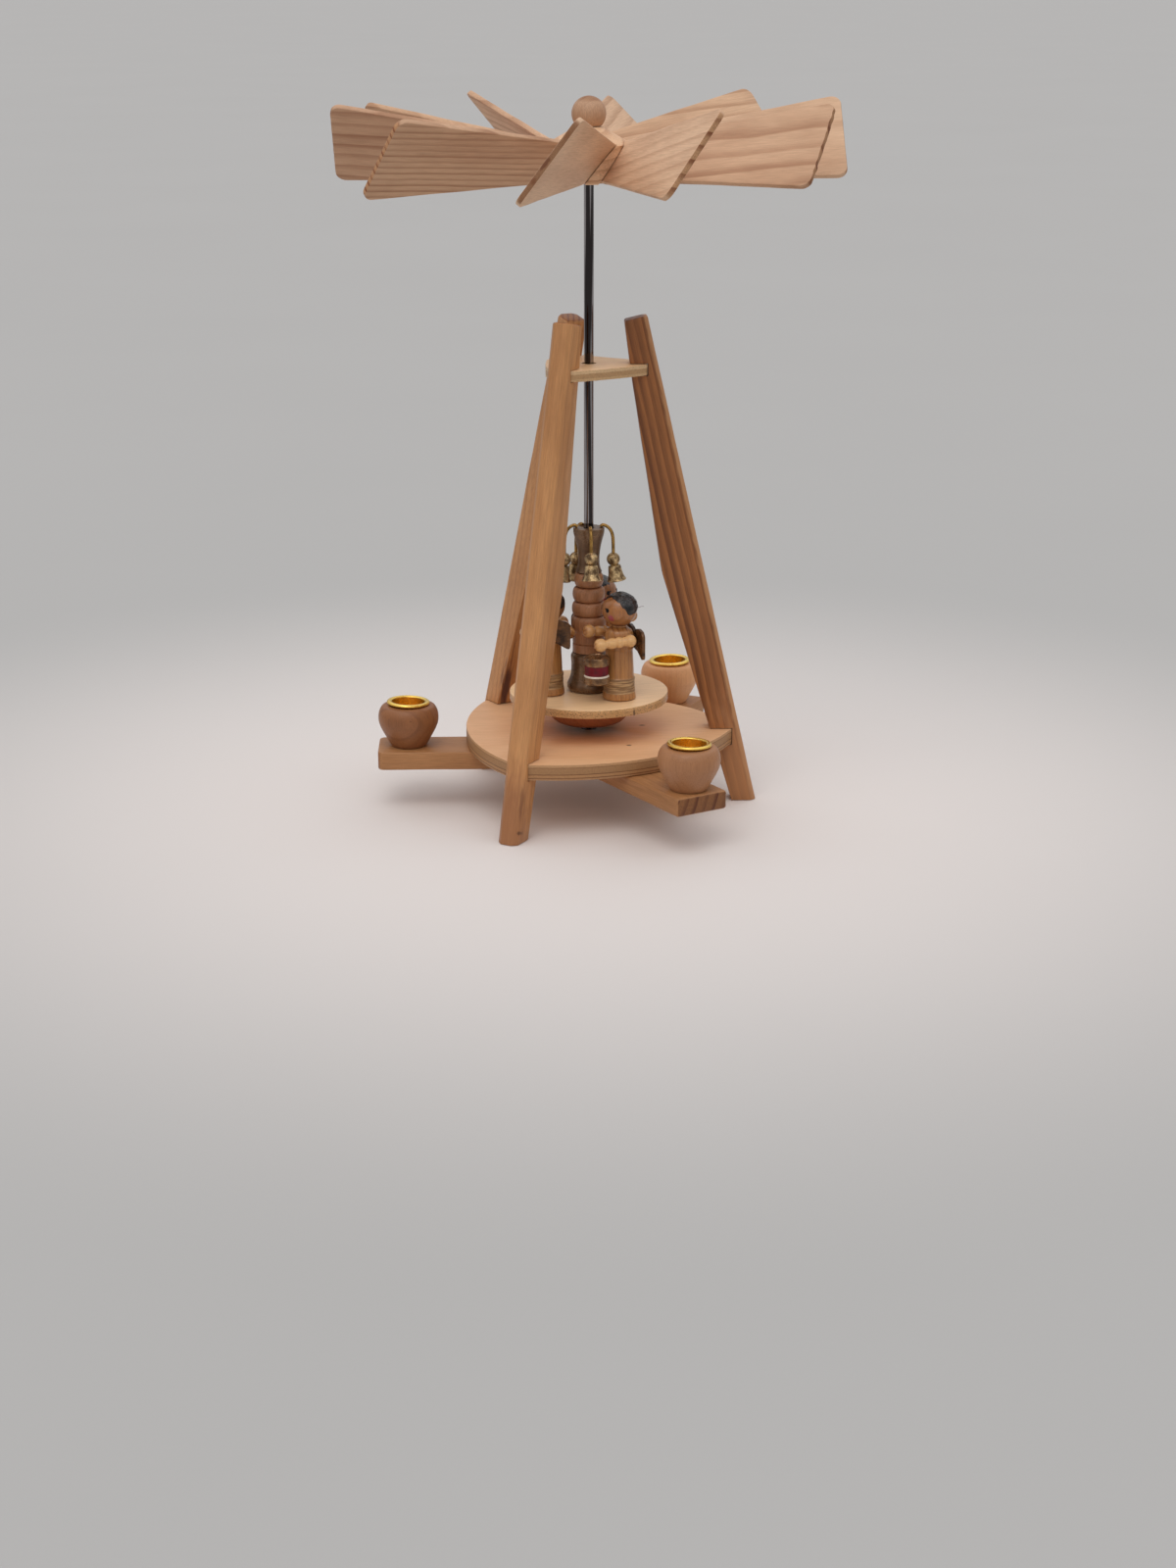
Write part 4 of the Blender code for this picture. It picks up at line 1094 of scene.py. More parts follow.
@dataclass
class Stand:
    """Three leaning legs, the base plate, the upper plate and the shaft's bearing."""

    names: tuple[str, ...] = ("leg_right", "leg_back_left", "leg_front_left")
    azimuths: tuple[float, ...] = (0.0, 120.0, 240.0)
    swings: tuple[float, ...] = (0.0, 0.0134, 0.0)
    heights: tuple[float, ...] = (0.2058, 0.2036, 0.2054)
    swing_height: float = 0.1600
    width: float = 0.0092
    rise: float = 0.2058
    foot_outer: float = 0.0712
    top_outer: float = 0.0236
    foot_depth: float = 0.0103
    knee_height: float = 0.0990
    knee_depth: float = 0.0178
    neck_depth: float = 0.0119
    top_depth: float = 0.0095
    chamfer: float = 0.0020
    edge_round: float = 0.0004
    crown_round: float = 0.0010
    foot_round: float = 0.0007
    base_plate: Plate = Plate(
        top=0.0318, thickness=0.0067, mid=0.0516, tip_wall=0.0050, shoulder=0.0026, facet=0.0017,
        hole=0.0031 + CLEARANCE, rim_round=0.45 * MM,
    )
    upper_plate: Plate = Plate(
        top=0.1862, thickness=0.0044, mid=0.0176, tip_wall=0.0054, shoulder=0.0013, facet=0.0009,
        hole=0.0030, rim_round=0.3 * MM,
    )
    crown_zone: float = 4.0 * MM
    foot_zone: float = 0.5 * MM
    long_edge: float = 20.0 * MM
    bands: int = 28
    woods: tuple[WoodFinish, ...] = (STRIPED_PINE, PINE, PINE)
    cuts: tuple[Cut, ...] = (
        Cut(3.3 * MM, (-25.0 * MM, -60.0 * MM), 0.5 * MM, seed=3.0, late_start=0.15),
        Cut(2.2 * MM, (40.0 * MM, -18.0 * MM), 0.4 * MM, seed=8.0, ring_strength=0.6),
        Cut(3.4 * MM, (-30.0 * MM, 45.0 * MM), 0.4 * MM, seed=5.0, end_shade=0.85, ring_strength=0.4),
    )
    marks: dict[str, tuple[Mark, ...]] = field(default_factory=lambda: {
        "leg_right": (
            # Painted highlight: a pale tone over the outer face and its chamfers, where light catches the
            # chamfer strip.
            Mark((0.100, 0.0, 0.0), (0.300, 0.0200, 0.0026), tone(200, 146, 98), 0.75),
            Mark((0.0, 0.0, 0.0), (0.060, 0.0400, 0.0400), tone(178, 124, 80), 0.6),
        ),
        "leg_back_left": (
            Mark((0.0440, 0.0124, 0.0130), (0.0170, 0.0028, 0.0050), tone(78, 44, 42), 0.95),
            Mark((0.0600, 0.0116, 0.0134), (0.0160, 0.0006, 0.0030), tone(120, 74, 52), 0.7),
        ),
        "leg_front_left": (
            Mark((0.0040, -0.0006, 0.0), (0.0360, 0.0110, 0.0120), tone(140, 88, 56), 0.65),
            # Painted highlight: a pale strip on the right side face, where that face catches more light.
            Mark((0.1100, 0.0056, 0.0), (0.2500, 0.0011, 0.0200), tone(206, 158, 108), 0.5),
            Mark((0.0190, 0.0042, 0.0), (0.0130, 0.0008, 0.0060), tone(112, 68, 42), 0.6),
            Mark((0.0055, 0.0046, 0.0), (0.0013, 0.0011, 0.0060), tone(84, 48, 30), 0.8),
        ),
    })

    @property
    def lean(self) -> float:
        """Return the angle by which the legs lean inwards, in radians."""
        return math.atan2(self.foot_outer - self.top_outer, self.rise)

    def outer_radius(self, height: float) -> float:
        """Return the radius of a leg's outer face at a height."""
        return self.foot_outer + (self.top_outer - self.foot_outer) * height / self.rise

    def leg_outline(self, height: float) -> list[Point]:
        """Return a leg's side outline with its two notches, as radius and height.

        Args:
            height: Height of the leg's outer top corner.

        Returns:
            The outline's corners.
        """
        base, upper = self.base_plate, self.upper_plate
        top = self.outer_radius(height)
        lower_tip = self.outer_radius(base.bottom) - base.tip_wall + CLEARANCE
        upper_tip = self.outer_radius(upper.bottom) - upper.tip_wall + CLEARANCE
        knee = (self.outer_radius(self.knee_height) - self.knee_depth, self.knee_height)
        neck = (self.outer_radius(upper.bottom) - self.neck_depth, upper.bottom)
        across, down = self.top_depth * math.cos(self.lean), self.top_depth * math.sin(self.lean)
        crown = (top - across, height - down)
        foot = (self.foot_outer - self.foot_depth, 0.0)

        def inner(level: float, low: Point, high: Point) -> Point:
            """Return the inner face's point at a level between two corners."""
            share = (level - low[1]) / (high[1] - low[1])
            return (low[0] + (high[0] - low[0]) * share, level)

        low_cut, high_cut = base.bottom - CLEARANCE, base.top + CLEARANCE
        neck_cut, crown_cut = upper.bottom - CLEARANCE, upper.top + CLEARANCE
        return [
            (self.foot_outer, 0.0),
            (top, height),
            crown,
            inner(crown_cut, neck, crown),
            (upper_tip, crown_cut),
            (upper_tip, neck_cut),
            inner(neck_cut, knee, neck),
            knee,
            inner(high_cut, foot, knee),
            (lower_tip, high_cut),
            (lower_tip, low_cut),
            inner(low_cut, foot, knee),
            foot,
        ]

    def ease_leg(self, cage: Cage, height: float) -> None:
        """Chamfer a leg's outer edges and round its crown, its long edges and its foot.

        Args:
            cage: The leg.
            height: Height of its outer top corner.
        """
        outer = [
            edge for edge in cage.edges
            if edge.calc_length() > self.upper_plate.top and least_of(edge) > self.top_outer - MM
        ]
        soften(cage, outer, self.chamfer, 1)
        crown = [edge for edge in sharp_edges(cage, 25.0) if least_of(edge, 2) > height - self.crown_zone]
        soften(cage, crown, self.crown_round, 3)
        lengthwise = [edge for edge in sharp_edges(cage, 30.0) if climb(edge) > self.long_edge]
        soften(cage, lengthwise, self.edge_round)
        foot = [
            edge for edge in sharp_edges(cage, 60.0)
            if max(vert.co.z for vert in edge.verts) < self.foot_zone
        ]
        soften(cage, foot, self.foot_round)

    def make_leg(self, index: int) -> None:
        """Make one leg, sawn square with chamfered outer edges and notches for the plates.

        Args:
            index: Number of the leg, from 0.
        """
        name, azimuth, height = self.names[index], self.azimuths[index], self.heights[index]
        cage = slab(self.leg_outline(height), self.width)
        cage.transform(tilted(90.0, "X"))
        self.ease_leg(cage, height)
        slice_across(cage, Z_AXIS, 0.0, height, self.bands)
        for vert in cage.verts:
            vert.co.y += self.swings[index] * (1.0 - vert.co.z / self.swing_height)
        sway(cage, 0.12 * MM, 90.0, 7.0 * index)
        for vert in cage.verts:
            vert.co.z = max(vert.co.z, 0.0)
        along = Matrix.Rotation(-math.pi / 2 - self.lean, 4, "Y")
        grain = turn(azimuth) @ Matrix.Translation((self.foot_outer, 0.0, 0.0)) @ along
        finish = self.woods[index].make(name + "_pine", grain, self.cuts[index], self.marks[name])
        publish("sawn_" + name, cage, [finish], "frame", "leg_pine", [name], turn(azimuth))

    def plate_cage(self, plate: Plate) -> Cage:
        """Shape a plate: blunt tips joined by arcs, with a round hole.

        Args:
            plate: Its sizes.

        Returns:
            The cage in place.
        """
        cage = bmesh.new()
        tip, tip_half = self.outer_radius(plate.bottom) - plate.tip_wall, self.width / 2
        back, half = tip - plate.facet, tip_half + plate.shoulder
        level = plate.top - plate.thickness / 2
        tips = []
        for azimuth, swing in zip(self.azimuths, self.swings):
            shift = swing * (1.0 - level / self.swing_height)
            spot = turn(azimuth) @ Matrix.Translation((0.0, shift, 0.0))
            corners = ((back, -half), (tip, -tip_half), (tip, tip_half), (back, half))
            tips.append([spot @ Vector((along, across, plate.bottom)) for along, across in corners])
        for index, corners in enumerate(tips):
            verts = [cage.verts.new(corner) for corner in corners]
            for pair in zip(verts, verts[1:]):
                cage.edges.new(pair)
            self.add_bow(cage, corners[-1], tips[(index + 1) % len(tips)][0], plate.mid)
        ring = bmesh.ops.create_circle(cage, cap_ends=False, radius=plate.hole, segments=32)
        bmesh.ops.translate(cage, verts=ring["verts"], vec=(0.0, 0.0, plate.bottom))
        bmesh.ops.remove_doubles(cage, verts=cage.verts, dist=0.01 * MM)
        bmesh.ops.triangle_fill(cage, use_beauty=True, use_dissolve=True, edges=cage.edges)
        thicken(cage, plate.thickness)
        return cage

    @staticmethod
    def add_bow(cage: Cage, start: Vector, end: Vector, mid: float) -> None:
        """Spin a point from one tip to the next along an arc that bows out to a radius.

        Args:
            cage: The plate.
            start: Last corner of one tip.
            end: First corner of the next.
            mid: Radius of the arc at its middle.
        """
        middle = (start + end) / 2
        run = end - start
        outward = Vector((run.y, -run.x, 0.0)).normalized()
        bow = mid - middle.dot(outward)
        radius = (run.length**2 / 4 + bow**2) / (2 * bow)
        centre = middle + outward * (bow - radius)
        sweep = 2 * math.asin(run.length / 2 / radius)
        seed = cage.verts.new(start)
        bmesh.ops.spin(
            cage, geom=[seed], cent=centre, axis=(0.0, 0.0, 1.0), dvec=(0.0, 0.0, 0.0),
            angle=sweep, steps=36, use_merge=False, use_duplicate=False,
        )

    def make_base_plate(self) -> None:
        """Make the base plate, with two dark specks in its veneer."""
        plate = self.base_plate
        cage = self.plate_cage(plate)
        soften(cage, self.rims(cage), plate.rim_round)
        finish = PlywoodFinish(VENEER, plate.bottom, plate.top, BASE_LAYERS, speckle=0.2)
        specks = (
            Mark((0.0227, 0.0023, plate.top), (0.0020, 0.0012, 0.0030), tone(56, 34, 22)),
            Mark((0.0158, -0.0275, plate.top), (0.0014, 0.0013, 0.0030), tone(48, 28, 20)),
        )
        cut = Cut(5.0 * MM, (0.0, -90.0 * MM), 1.2 * MM, seed=2.0)
        material = finish.make("base_plate_veneer", cut, 0.0, specks)
        publish("sawn_base_plate", cage, [material], "frame", "plate_wood", ["base_plate"])

    def make_upper_plate(self) -> None:
        """Make the small upper plate, with the ragged edge of a coarse saw."""
        plate = self.upper_plate
        cage = self.plate_cage(plate)
        for vert in cage.verts:
            reach = math.hypot(vert.co.x, vert.co.y)
            if reach > plate.mid * 0.8:
                rag = noise.noise(vert.co * 700.0) * 0.25 * MM
                vert.co += Vector((vert.co.x, vert.co.y, 0.0)) / reach * rag
        soften(cage, self.rims(cage), plate.rim_round)
        finish = PlywoodFinish(TABLE_VENEER, plate.bottom, plate.top, UPPER_LAYERS, speckle=0.3)
        material = finish.make("upper_plate_veneer", Cut(4.0 * MM, (0.0, -60.0 * MM), seed=6.0), 20.0)
        publish("sawn_upper_plate", cage, [material], "frame", "plate_wood", ["upper_plate"])

    @staticmethod
    def rims(cage: Cage) -> list[Edge]:
        """Return the edges round a plate's two faces."""
        return [edge for edge in sharp_edges(cage, 60.0) if climb(edge) < 0.1 * MM]

    def build(self) -> None:
        """Make every piece of the stand."""
        for index in range(len(self.names)):
            self.make_leg(index)
        self.make_base_plate()
        self.make_upper_plate()
        dress_node("bearing_cup", STEEL.make("bearing_steel"))


# Candle places


@dataclass
class CandlePlace:
    """One flat arm with its turned holder and brass cup."""

    place: str
    azimuth: float
    reach: float
    wood: WoodFinish
    cut: Cut
    cup_tilt: float = 0.0
    cup_tilt_azimuth: float = 0.0
    drops: tuple[Point, ...] = ()
    drop_radius: float = 0.0006
    drop_radial: float = 0.0124
    arm_width: float = 0.0238
    arm_thickness: float = 0.0077
    arm_top: float = 0.0248
    end_round: float = 0.0026
    rim_round: float = 0.0006
    holder_radial: float = 0.0763
    holder_bottom: float = 0.0251
    holder_height: float = 0.0175
    cup_inner: float = 0.0070
    cup_wall: float = 0.0005
    cup_depth: float = 0.0095
    cup_inner_round: float = 0.0010
    cup_outer_round: float = 0.0012
    cup_flange_roll: float = 0.00105
    cup_flange_flat: float = 0.68

    def make_arm(self) -> None:
        """Make the arm, mitred at the centre, with eased edges and a dark sawn end."""
        half, mitre = self.arm_width / 2, math.radians(60.0)
        apex = CLEARANCE / 2 / math.sin(mitre)
        shoulder = apex + half / math.tan(mitre)
        corners = ((shoulder, -half), (self.reach, -half), (self.reach, half), (shoulder, half))
        cage = slab([(apex, 0.0), *corners], self.arm_thickness)
        ends = [e for e in sharp_edges(cage) if least_of(e) > self.reach - MM and climb(e) > MM]
        soften(cage, ends, self.end_round, 5)
        rims = [e for e in sharp_edges(cage, 50.0) if max(v.co.x for v in e.verts) > shoulder + MM]
        soften(cage, rims, self.rim_round, 3)
        slice_across(cage, X_AXIS, apex, self.reach, 16)
        sway(cage, 0.1 * MM, 70.0, self.azimuth)
        place = turn(self.azimuth) @ Matrix.Translation((0.0, 0.0, self.arm_top - self.arm_thickness / 2))
        name = "candle_arm_" + self.place
        material = ARM_PINE.make(name + "_pine", place, self.cut)
        publish("sawn_" + name, cage, [material], "frame", "leg_pine", [name], place)

    def make_holder(self) -> None:
        """Make the turned bowl with its socket, swelling above a narrow foot."""
        height = self.holder_height
        socket = self.cup_inner + self.cup_wall + CLEARANCE
        floor = height - self.cup_depth - CLEARANCE
        bowl = flowing([
            (0.0096, height), (0.0112, height - 0.0007), (0.0124, height - 0.0030),
            (0.0127, height - 0.0057), (0.0123, height - 0.0082), (0.0110, height - 0.0112),
            (0.0093, height - 0.0143), (0.0082, height - 0.0164), (0.0078, height - 0.0171),
        ])
        profile = [(0.0, floor), (socket, floor), (socket, height - 0.0003), (socket + 0.0003, height)]
        profile += bowl + [(0.0076, 0.0), (0.0, 0.0)]
        name = "candle_holder_" + self.place
        seat = stand_at(polar(self.holder_radial, self.azimuth, self.holder_bottom))
        grain = seat @ turn(self.azimuth * 1.7) @ UPRIGHT_GRAIN
        rings = Cut(2.4 * MM, (16.0 * MM, 9.0 * MM), 0.5 * MM, seed=self.azimuth / 40.0, end_shade=1.0)
        material = self.wood.make(name + "_wood", grain, rings)
        cage = lathe(profile, 72)
        for azimuth, level in self.drops:
            spot = stand_at(polar(self.drop_radial, azimuth, level))
            bmesh.ops.create_uvsphere(
                cage, u_segments=16, v_segments=10, radius=self.drop_radius, matrix=spot
            )
        publish("turned_" + name, cage, [material], "frame", "holder_wood", [name], seat)

    def make_cup(self) -> None:
        """Make the thin brass cup with its rolled flange, pressed in a little askew."""
        inner, outer, low = self.cup_inner, self.cup_inner + self.cup_wall, self.cup_wall - self.cup_depth
        bend, curve, roll = self.cup_inner_round, self.cup_outer_round, self.cup_flange_roll
        ring = ball_run((outer + 0.0005, roll), roll, 160.0, -90.0, 14)
        flange = [(radius, CLEARANCE + level * self.cup_flange_flat) for radius, level in ring]
        profile = [(0.0, low), *ball_run((inner - bend, low + bend), bend, -90.0, 0.0, 5)]
        profile += [(inner, -0.0002), *flange, (outer + 0.0003, CLEARANCE), (outer, CLEARANCE - 0.0004)]
        profile += ball_run((outer - curve, curve - self.cup_depth), curve, 0.0, -90.0, 5)
        profile.append((0.0, -self.cup_depth))
        cage = lathe(profile, 72)
        cage.transform(turn(self.cup_tilt_azimuth) @ tilted(self.cup_tilt, "Y"))
        name = "candle_cup_" + self.place
        mouth = stand_at(polar(self.holder_radial, self.azimuth, self.holder_bottom + self.holder_height))
        publish("pressed_" + name, cage, [BRASS.make(name + "_brass")], "frame", "brass", [name], mouth)

    def build(self) -> None:
        """Make the three pieces."""
        self.make_arm()
        self.make_holder()
        self.make_cup()


# Shaft, table and column


@dataclass
class Spindle:
    """The polished shaft with the turntable, its dome and the three pieces of the column."""

    shaft_radius: float = 0.0020
    shaft_bottom: float = 0.0303
    shaft_top: float = 0.2720
    point_length: float = 0.0040
    table_top: float = 0.0484
    table_thickness: float = 0.0036
    table_radius: float = 0.0334
    table_round: float = 0.0004
    rough_zone: float = 0.0006
    dome_radius: float = 0.0172
    dome_bottom_radius: float = 0.0115
    dome_height: float = 0.0095
    foot_height: float = 0.0163
    body_height: float = 0.0340
    neck_height: float = 0.0185
    bead_radii: tuple[float, ...] = (0.0061, 0.0068, 0.0071)
    bead_height: float = 0.0062

    @property
    def bore(self) -> float:
        """Return the radius of the bores that the shaft runs through."""
        return self.shaft_radius + CLEARANCE

    def make_shaft(self) -> None:
        """Make the shaft with its ground point."""
        radius, bottom = self.shaft_radius, self.shaft_bottom
        top, ease = self.shaft_top, 0.0002
        profile = [(0.0, top), (radius - ease, top), (radius, top - ease)]
        profile += [(radius, bottom + self.point_length), (0.0003, bottom), (0.0, bottom)]
        cage = lathe(profile, 48)
        publish("ground_shaft", cage, [STEEL.make("shaft_steel")], "rotor", "steel", ["shaft"])

    def make_table(self) -> None:
        """Make the plywood disc with a slightly rough edge, and the dome under it."""
        top, bottom = self.table_top, self.table_top - self.table_thickness
        radius, ease, middle = self.table_radius, self.table_round, 0.018
        rim = ball_run((radius - ease, top - ease), ease, 90.0, 0.0, 3)
        rim += [(radius - 0.00005, top - self.table_thickness * share) for share in (0.3, 0.5, 0.7)]
        rim += ball_run((radius - ease, bottom + ease), ease, 0.0, -90.0, 3)
        profile = [(self.bore, top), (middle, top), *rim, (middle, bottom), (self.bore, bottom)]
        cage = lathe(profile, 144, True)
        for vert in cage.verts:
            if math.hypot(vert.co.x, vert.co.y) > radius - self.rough_zone:
                vert.co += noise.noise_vector(vert.co * 900.0) * 0.05 * MM
        finish = PlywoodFinish(TABLE_VENEER, bottom, top, TABLE_LAYERS, speckle=0.8)
        nick = Mark((0.00995, -0.0318, 0.0459), (0.0007, 0.0020, 0.0024), tone(70, 44, 26))
        cut = Cut(4.5 * MM, (0.0, -70.0 * MM), MM, seed=4.0)
        material = finish.make("turntable_veneer", cut, 15.0, [nick])
        publish("turned_turntable", cage, [material], "rotor", "plate_wood", ["turntable"])
        self.make_dome(bottom - CLEARANCE)

    def make_dome(self, top: float) -> None:
        """Make the reddish dome that stiffens the table from below.

        Args:
            top: Height of its flat upper face.
        """
        bulge = self.dome_radius - self.dome_bottom_radius
        run = [(self.dome_radius - 0.0004, top)]
        for step in range(13):
            angle = math.radians(90.0 * step / 12)
            drop = self.dome_height * (0.35 + 0.65 * math.sin(angle))
            run.append((self.dome_bottom_radius + bulge * math.cos(angle), top - drop))
        cage = lathe([(self.bore, top), *run, (self.bore, top - self.dome_height)], 96, True)
        cut = Cut(2.2 * MM, (11.0 * MM, 14.0 * MM), seed=9.0)
        material = DOME_WOOD.make("dome_wood", UPRIGHT_GRAIN, cut)
        publish("turned_dome", cage, [material], "rotor", "turned_wood", ["turntable_dome"])

    def make_column(self) -> None:
        """Make the bronzed foot, the beaded body and the bronzed neck."""
        foot_bottom = self.table_top + CLEARANCE
        body_bottom = foot_bottom + self.foot_height + CLEARANCE
        neck_bottom = body_bottom + self.body_height + CLEARANCE
        bronze = BRONZE.make("column_bronze")
        cut = Cut(2.0 * MM, (7.0 * MM, 9.0 * MM), seed=11.0)
        wood = COLUMN_WOOD.make("column_wood", UPRIGHT_GRAIN, cut)
        pieces = (
            ("column_foot", self.foot_profile(), foot_bottom, bronze, "bronze_paint"),
            ("column_body", self.body_profile(), body_bottom, wood, "turned_wood"),
            ("column_neck", self.neck_profile(), neck_bottom, bronze, "bronze_paint"),
        )
        for name, profile, height, material, slot in pieces:
            place = stand_at(Vector((0.0, 0.0, height)))
            publish("turned_" + name, lathe(profile, 72, True), [material], "rotor", slot, [name], place)

    def foot_profile(self) -> list[Point]:
        """Return the foot's profile: a waist that flares to a rounded base.

        Returns:
            Radius and height of each point.
        """
        high = self.foot_height
        side = flowing([
            (0.0068, high), (0.0076, high * 0.90), (0.0074, high * 0.70), (0.00755, high * 0.46),
            (0.0082, high * 0.30), (0.0091, high * 0.17), (0.0090, high * 0.07), (0.0083, 0.0),
        ])
        return [(self.bore, high), *side, (self.bore, 0.0)]

    def body_profile(self) -> list[Point]:
        """Return the body's profile: beads with sharp grooves over a straight band.

        Returns:
            Radius and height of each point.
        """
        profile = [(self.bore, self.body_height)]
        top = self.body_height
        for radius in self.bead_radii:
            half = self.bead_height / 2
            for step in range(11):
                angle = math.radians(80.0 - 160.0 * step / 10)
                out = radius - 0.0013 * (1.0 - math.cos(angle)) / (1.0 - math.cos(math.radians(80.0)))
                profile.append((out, top - half + half * math.sin(angle)))
            top -= self.bead_height
        profile += flowing([
            (0.0062, top), (0.0071, top - self.bead_height * 0.18),
            (0.0073, top - self.bead_height * 0.5), (0.0071, top - self.bead_height * 0.85),
            (0.0066, top - self.bead_height * 1.15),
        ])
        low = top - self.bead_height * 1.22
        profile += [(0.0068, low), (0.0068, 0.0042), (0.0064, 0.0038), (0.0068, 0.0034), (0.0068, 0.0)]
        profile.append((self.bore, 0.0))
        return profile

    def neck_profile(self) -> list[Point]:
        """Return the neck's profile: a waist under a wide top band.

        Returns:
            Radius and height of each point.
        """
        high = self.neck_height
        side = flowing([
            (0.0065, high * 0.99), (0.0064, high * 0.88), (0.0057, high * 0.74), (0.0050, high * 0.58),
            (0.0045, high * 0.38), (0.0045, high * 0.20), (0.0049, high * 0.08), (0.0055, 0.0),
        ])
        return [(self.bore, high), (0.0062, high), *side, (self.bore, 0.0)]

    def build(self) -> None:
        """Make every piece on the shaft."""
        self.make_shaft()
        self.make_table()
        self.make_column()


@dataclass
class BellSpray:
    """Four small bells on bent gilt wires round the column's neck."""

    names: tuple[str, ...] = ("right", "front", "left", "back")
    azimuths: tuple[float, ...] = (358.0, 274.0, 182.0, 120.0)
    rises: tuple[float, ...] = (0.0, 0.0022, 0.0, -0.0016)
    crests: tuple[float, ...] = (0.0012, 0.0012, 0.0012, 0.0006)
    neck_top: float = 0.1181
    reach: float = 0.0102
    bead_height: float = 0.1047
    bead_radius: float = 0.0028
    crown_radius: float = 0.0027
    rim_radius: float = 0.0041
    bell_length: float = 0.0067
    tilt: float = 9.0
    wire_radius: float = 0.0007
    wire_seat: float = 0.0048
    wire_bend: float = 0.45

    def bell_cage(self) -> Cage:
        """Return a bead over a bell with a hollow mouth, measured from the bead's centre.

        Returns:
            The cage.
        """
        bead, long, wide, rim = self.bead_radius, self.bell_length, self.crown_radius, self.rim_radius
        crown = -bead * 0.85
        profile = ball_run((0.0, 0.0), bead, 90.0, -60.0, 14)
        profile += flowing([
            (wide * 0.5, crown), (wide * 0.88, crown - long * 0.05), (wide, crown - long * 0.15),
            (wide * 1.1, crown - long * 0.50), (rim * 0.86, crown - long * 0.80),
            (rim, crown - long * 0.96),
        ])
        profile += [
            (rim * 0.97, crown - long), (rim * 0.86, crown - long), (rim * 0.72, crown - long * 0.78),
            (rim * 0.5, crown - long * 0.70), (0.0, crown - long * 0.70),
        ]
        return lathe(profile, 48)

    def make_wire(self, name: str, azimuth: float, bead: float, crest: float) -> None:
        """Bend one wire from the neck's top over to its bead.

        Args:
            name: The side that the bell hangs on.
            azimuth: Direction of the wire from the shaft.
            bead: Height of the bead's centre.
            crest: Height of the wire's highest place.
        """
        low = bead + self.bead_radius - 0.0002
        span = self.reach - self.wire_seat
        route = [(self.wire_seat, self.neck_top + CLEARANCE)]
        for step in range(1, 11):
            angle = math.radians(90.0 - 9.0 * step)
            drop = (crest - low) * (1.0 - math.sin(angle) ** self.wire_bend)
            route.append((self.wire_seat + span * math.cos(angle), crest - drop))
        places = [polar(out, azimuth, height) for out, height in route]
        material = GILT_WIRE.make("gilt_wire_" + name)
        piece = bend_wire("bent_bell_wire_" + name, places, self.wire_radius, material)
        settle_piece(piece, "rotor", "gold_metal", ["bell_wire_" + name])

    def build(self) -> None:
        """Make the bells and their wires."""
        for side, azimuth, rise, crest in zip(self.names, self.azimuths, self.rises, self.crests):
            bead = self.bead_height + rise
            self.make_wire(side, azimuth, bead, self.neck_top + crest)
            place = turn(azimuth) @ Matrix.Translation((self.reach, 0.0, bead)) @ tilted(-self.tilt, "Y")
            gold = OLD_GOLD.make("bell_gold_" + side)
            name = "bell_" + side
            publish("turned_" + name, self.bell_cage(), [gold], "rotor", "gold_metal", [name], place)


# Figures


class Instrument(Enum):
    """What a figure holds."""

    DRUM = "drum"
    SONG_BOOK = "book"
    SQUEEZEBOX = "squeezebox"


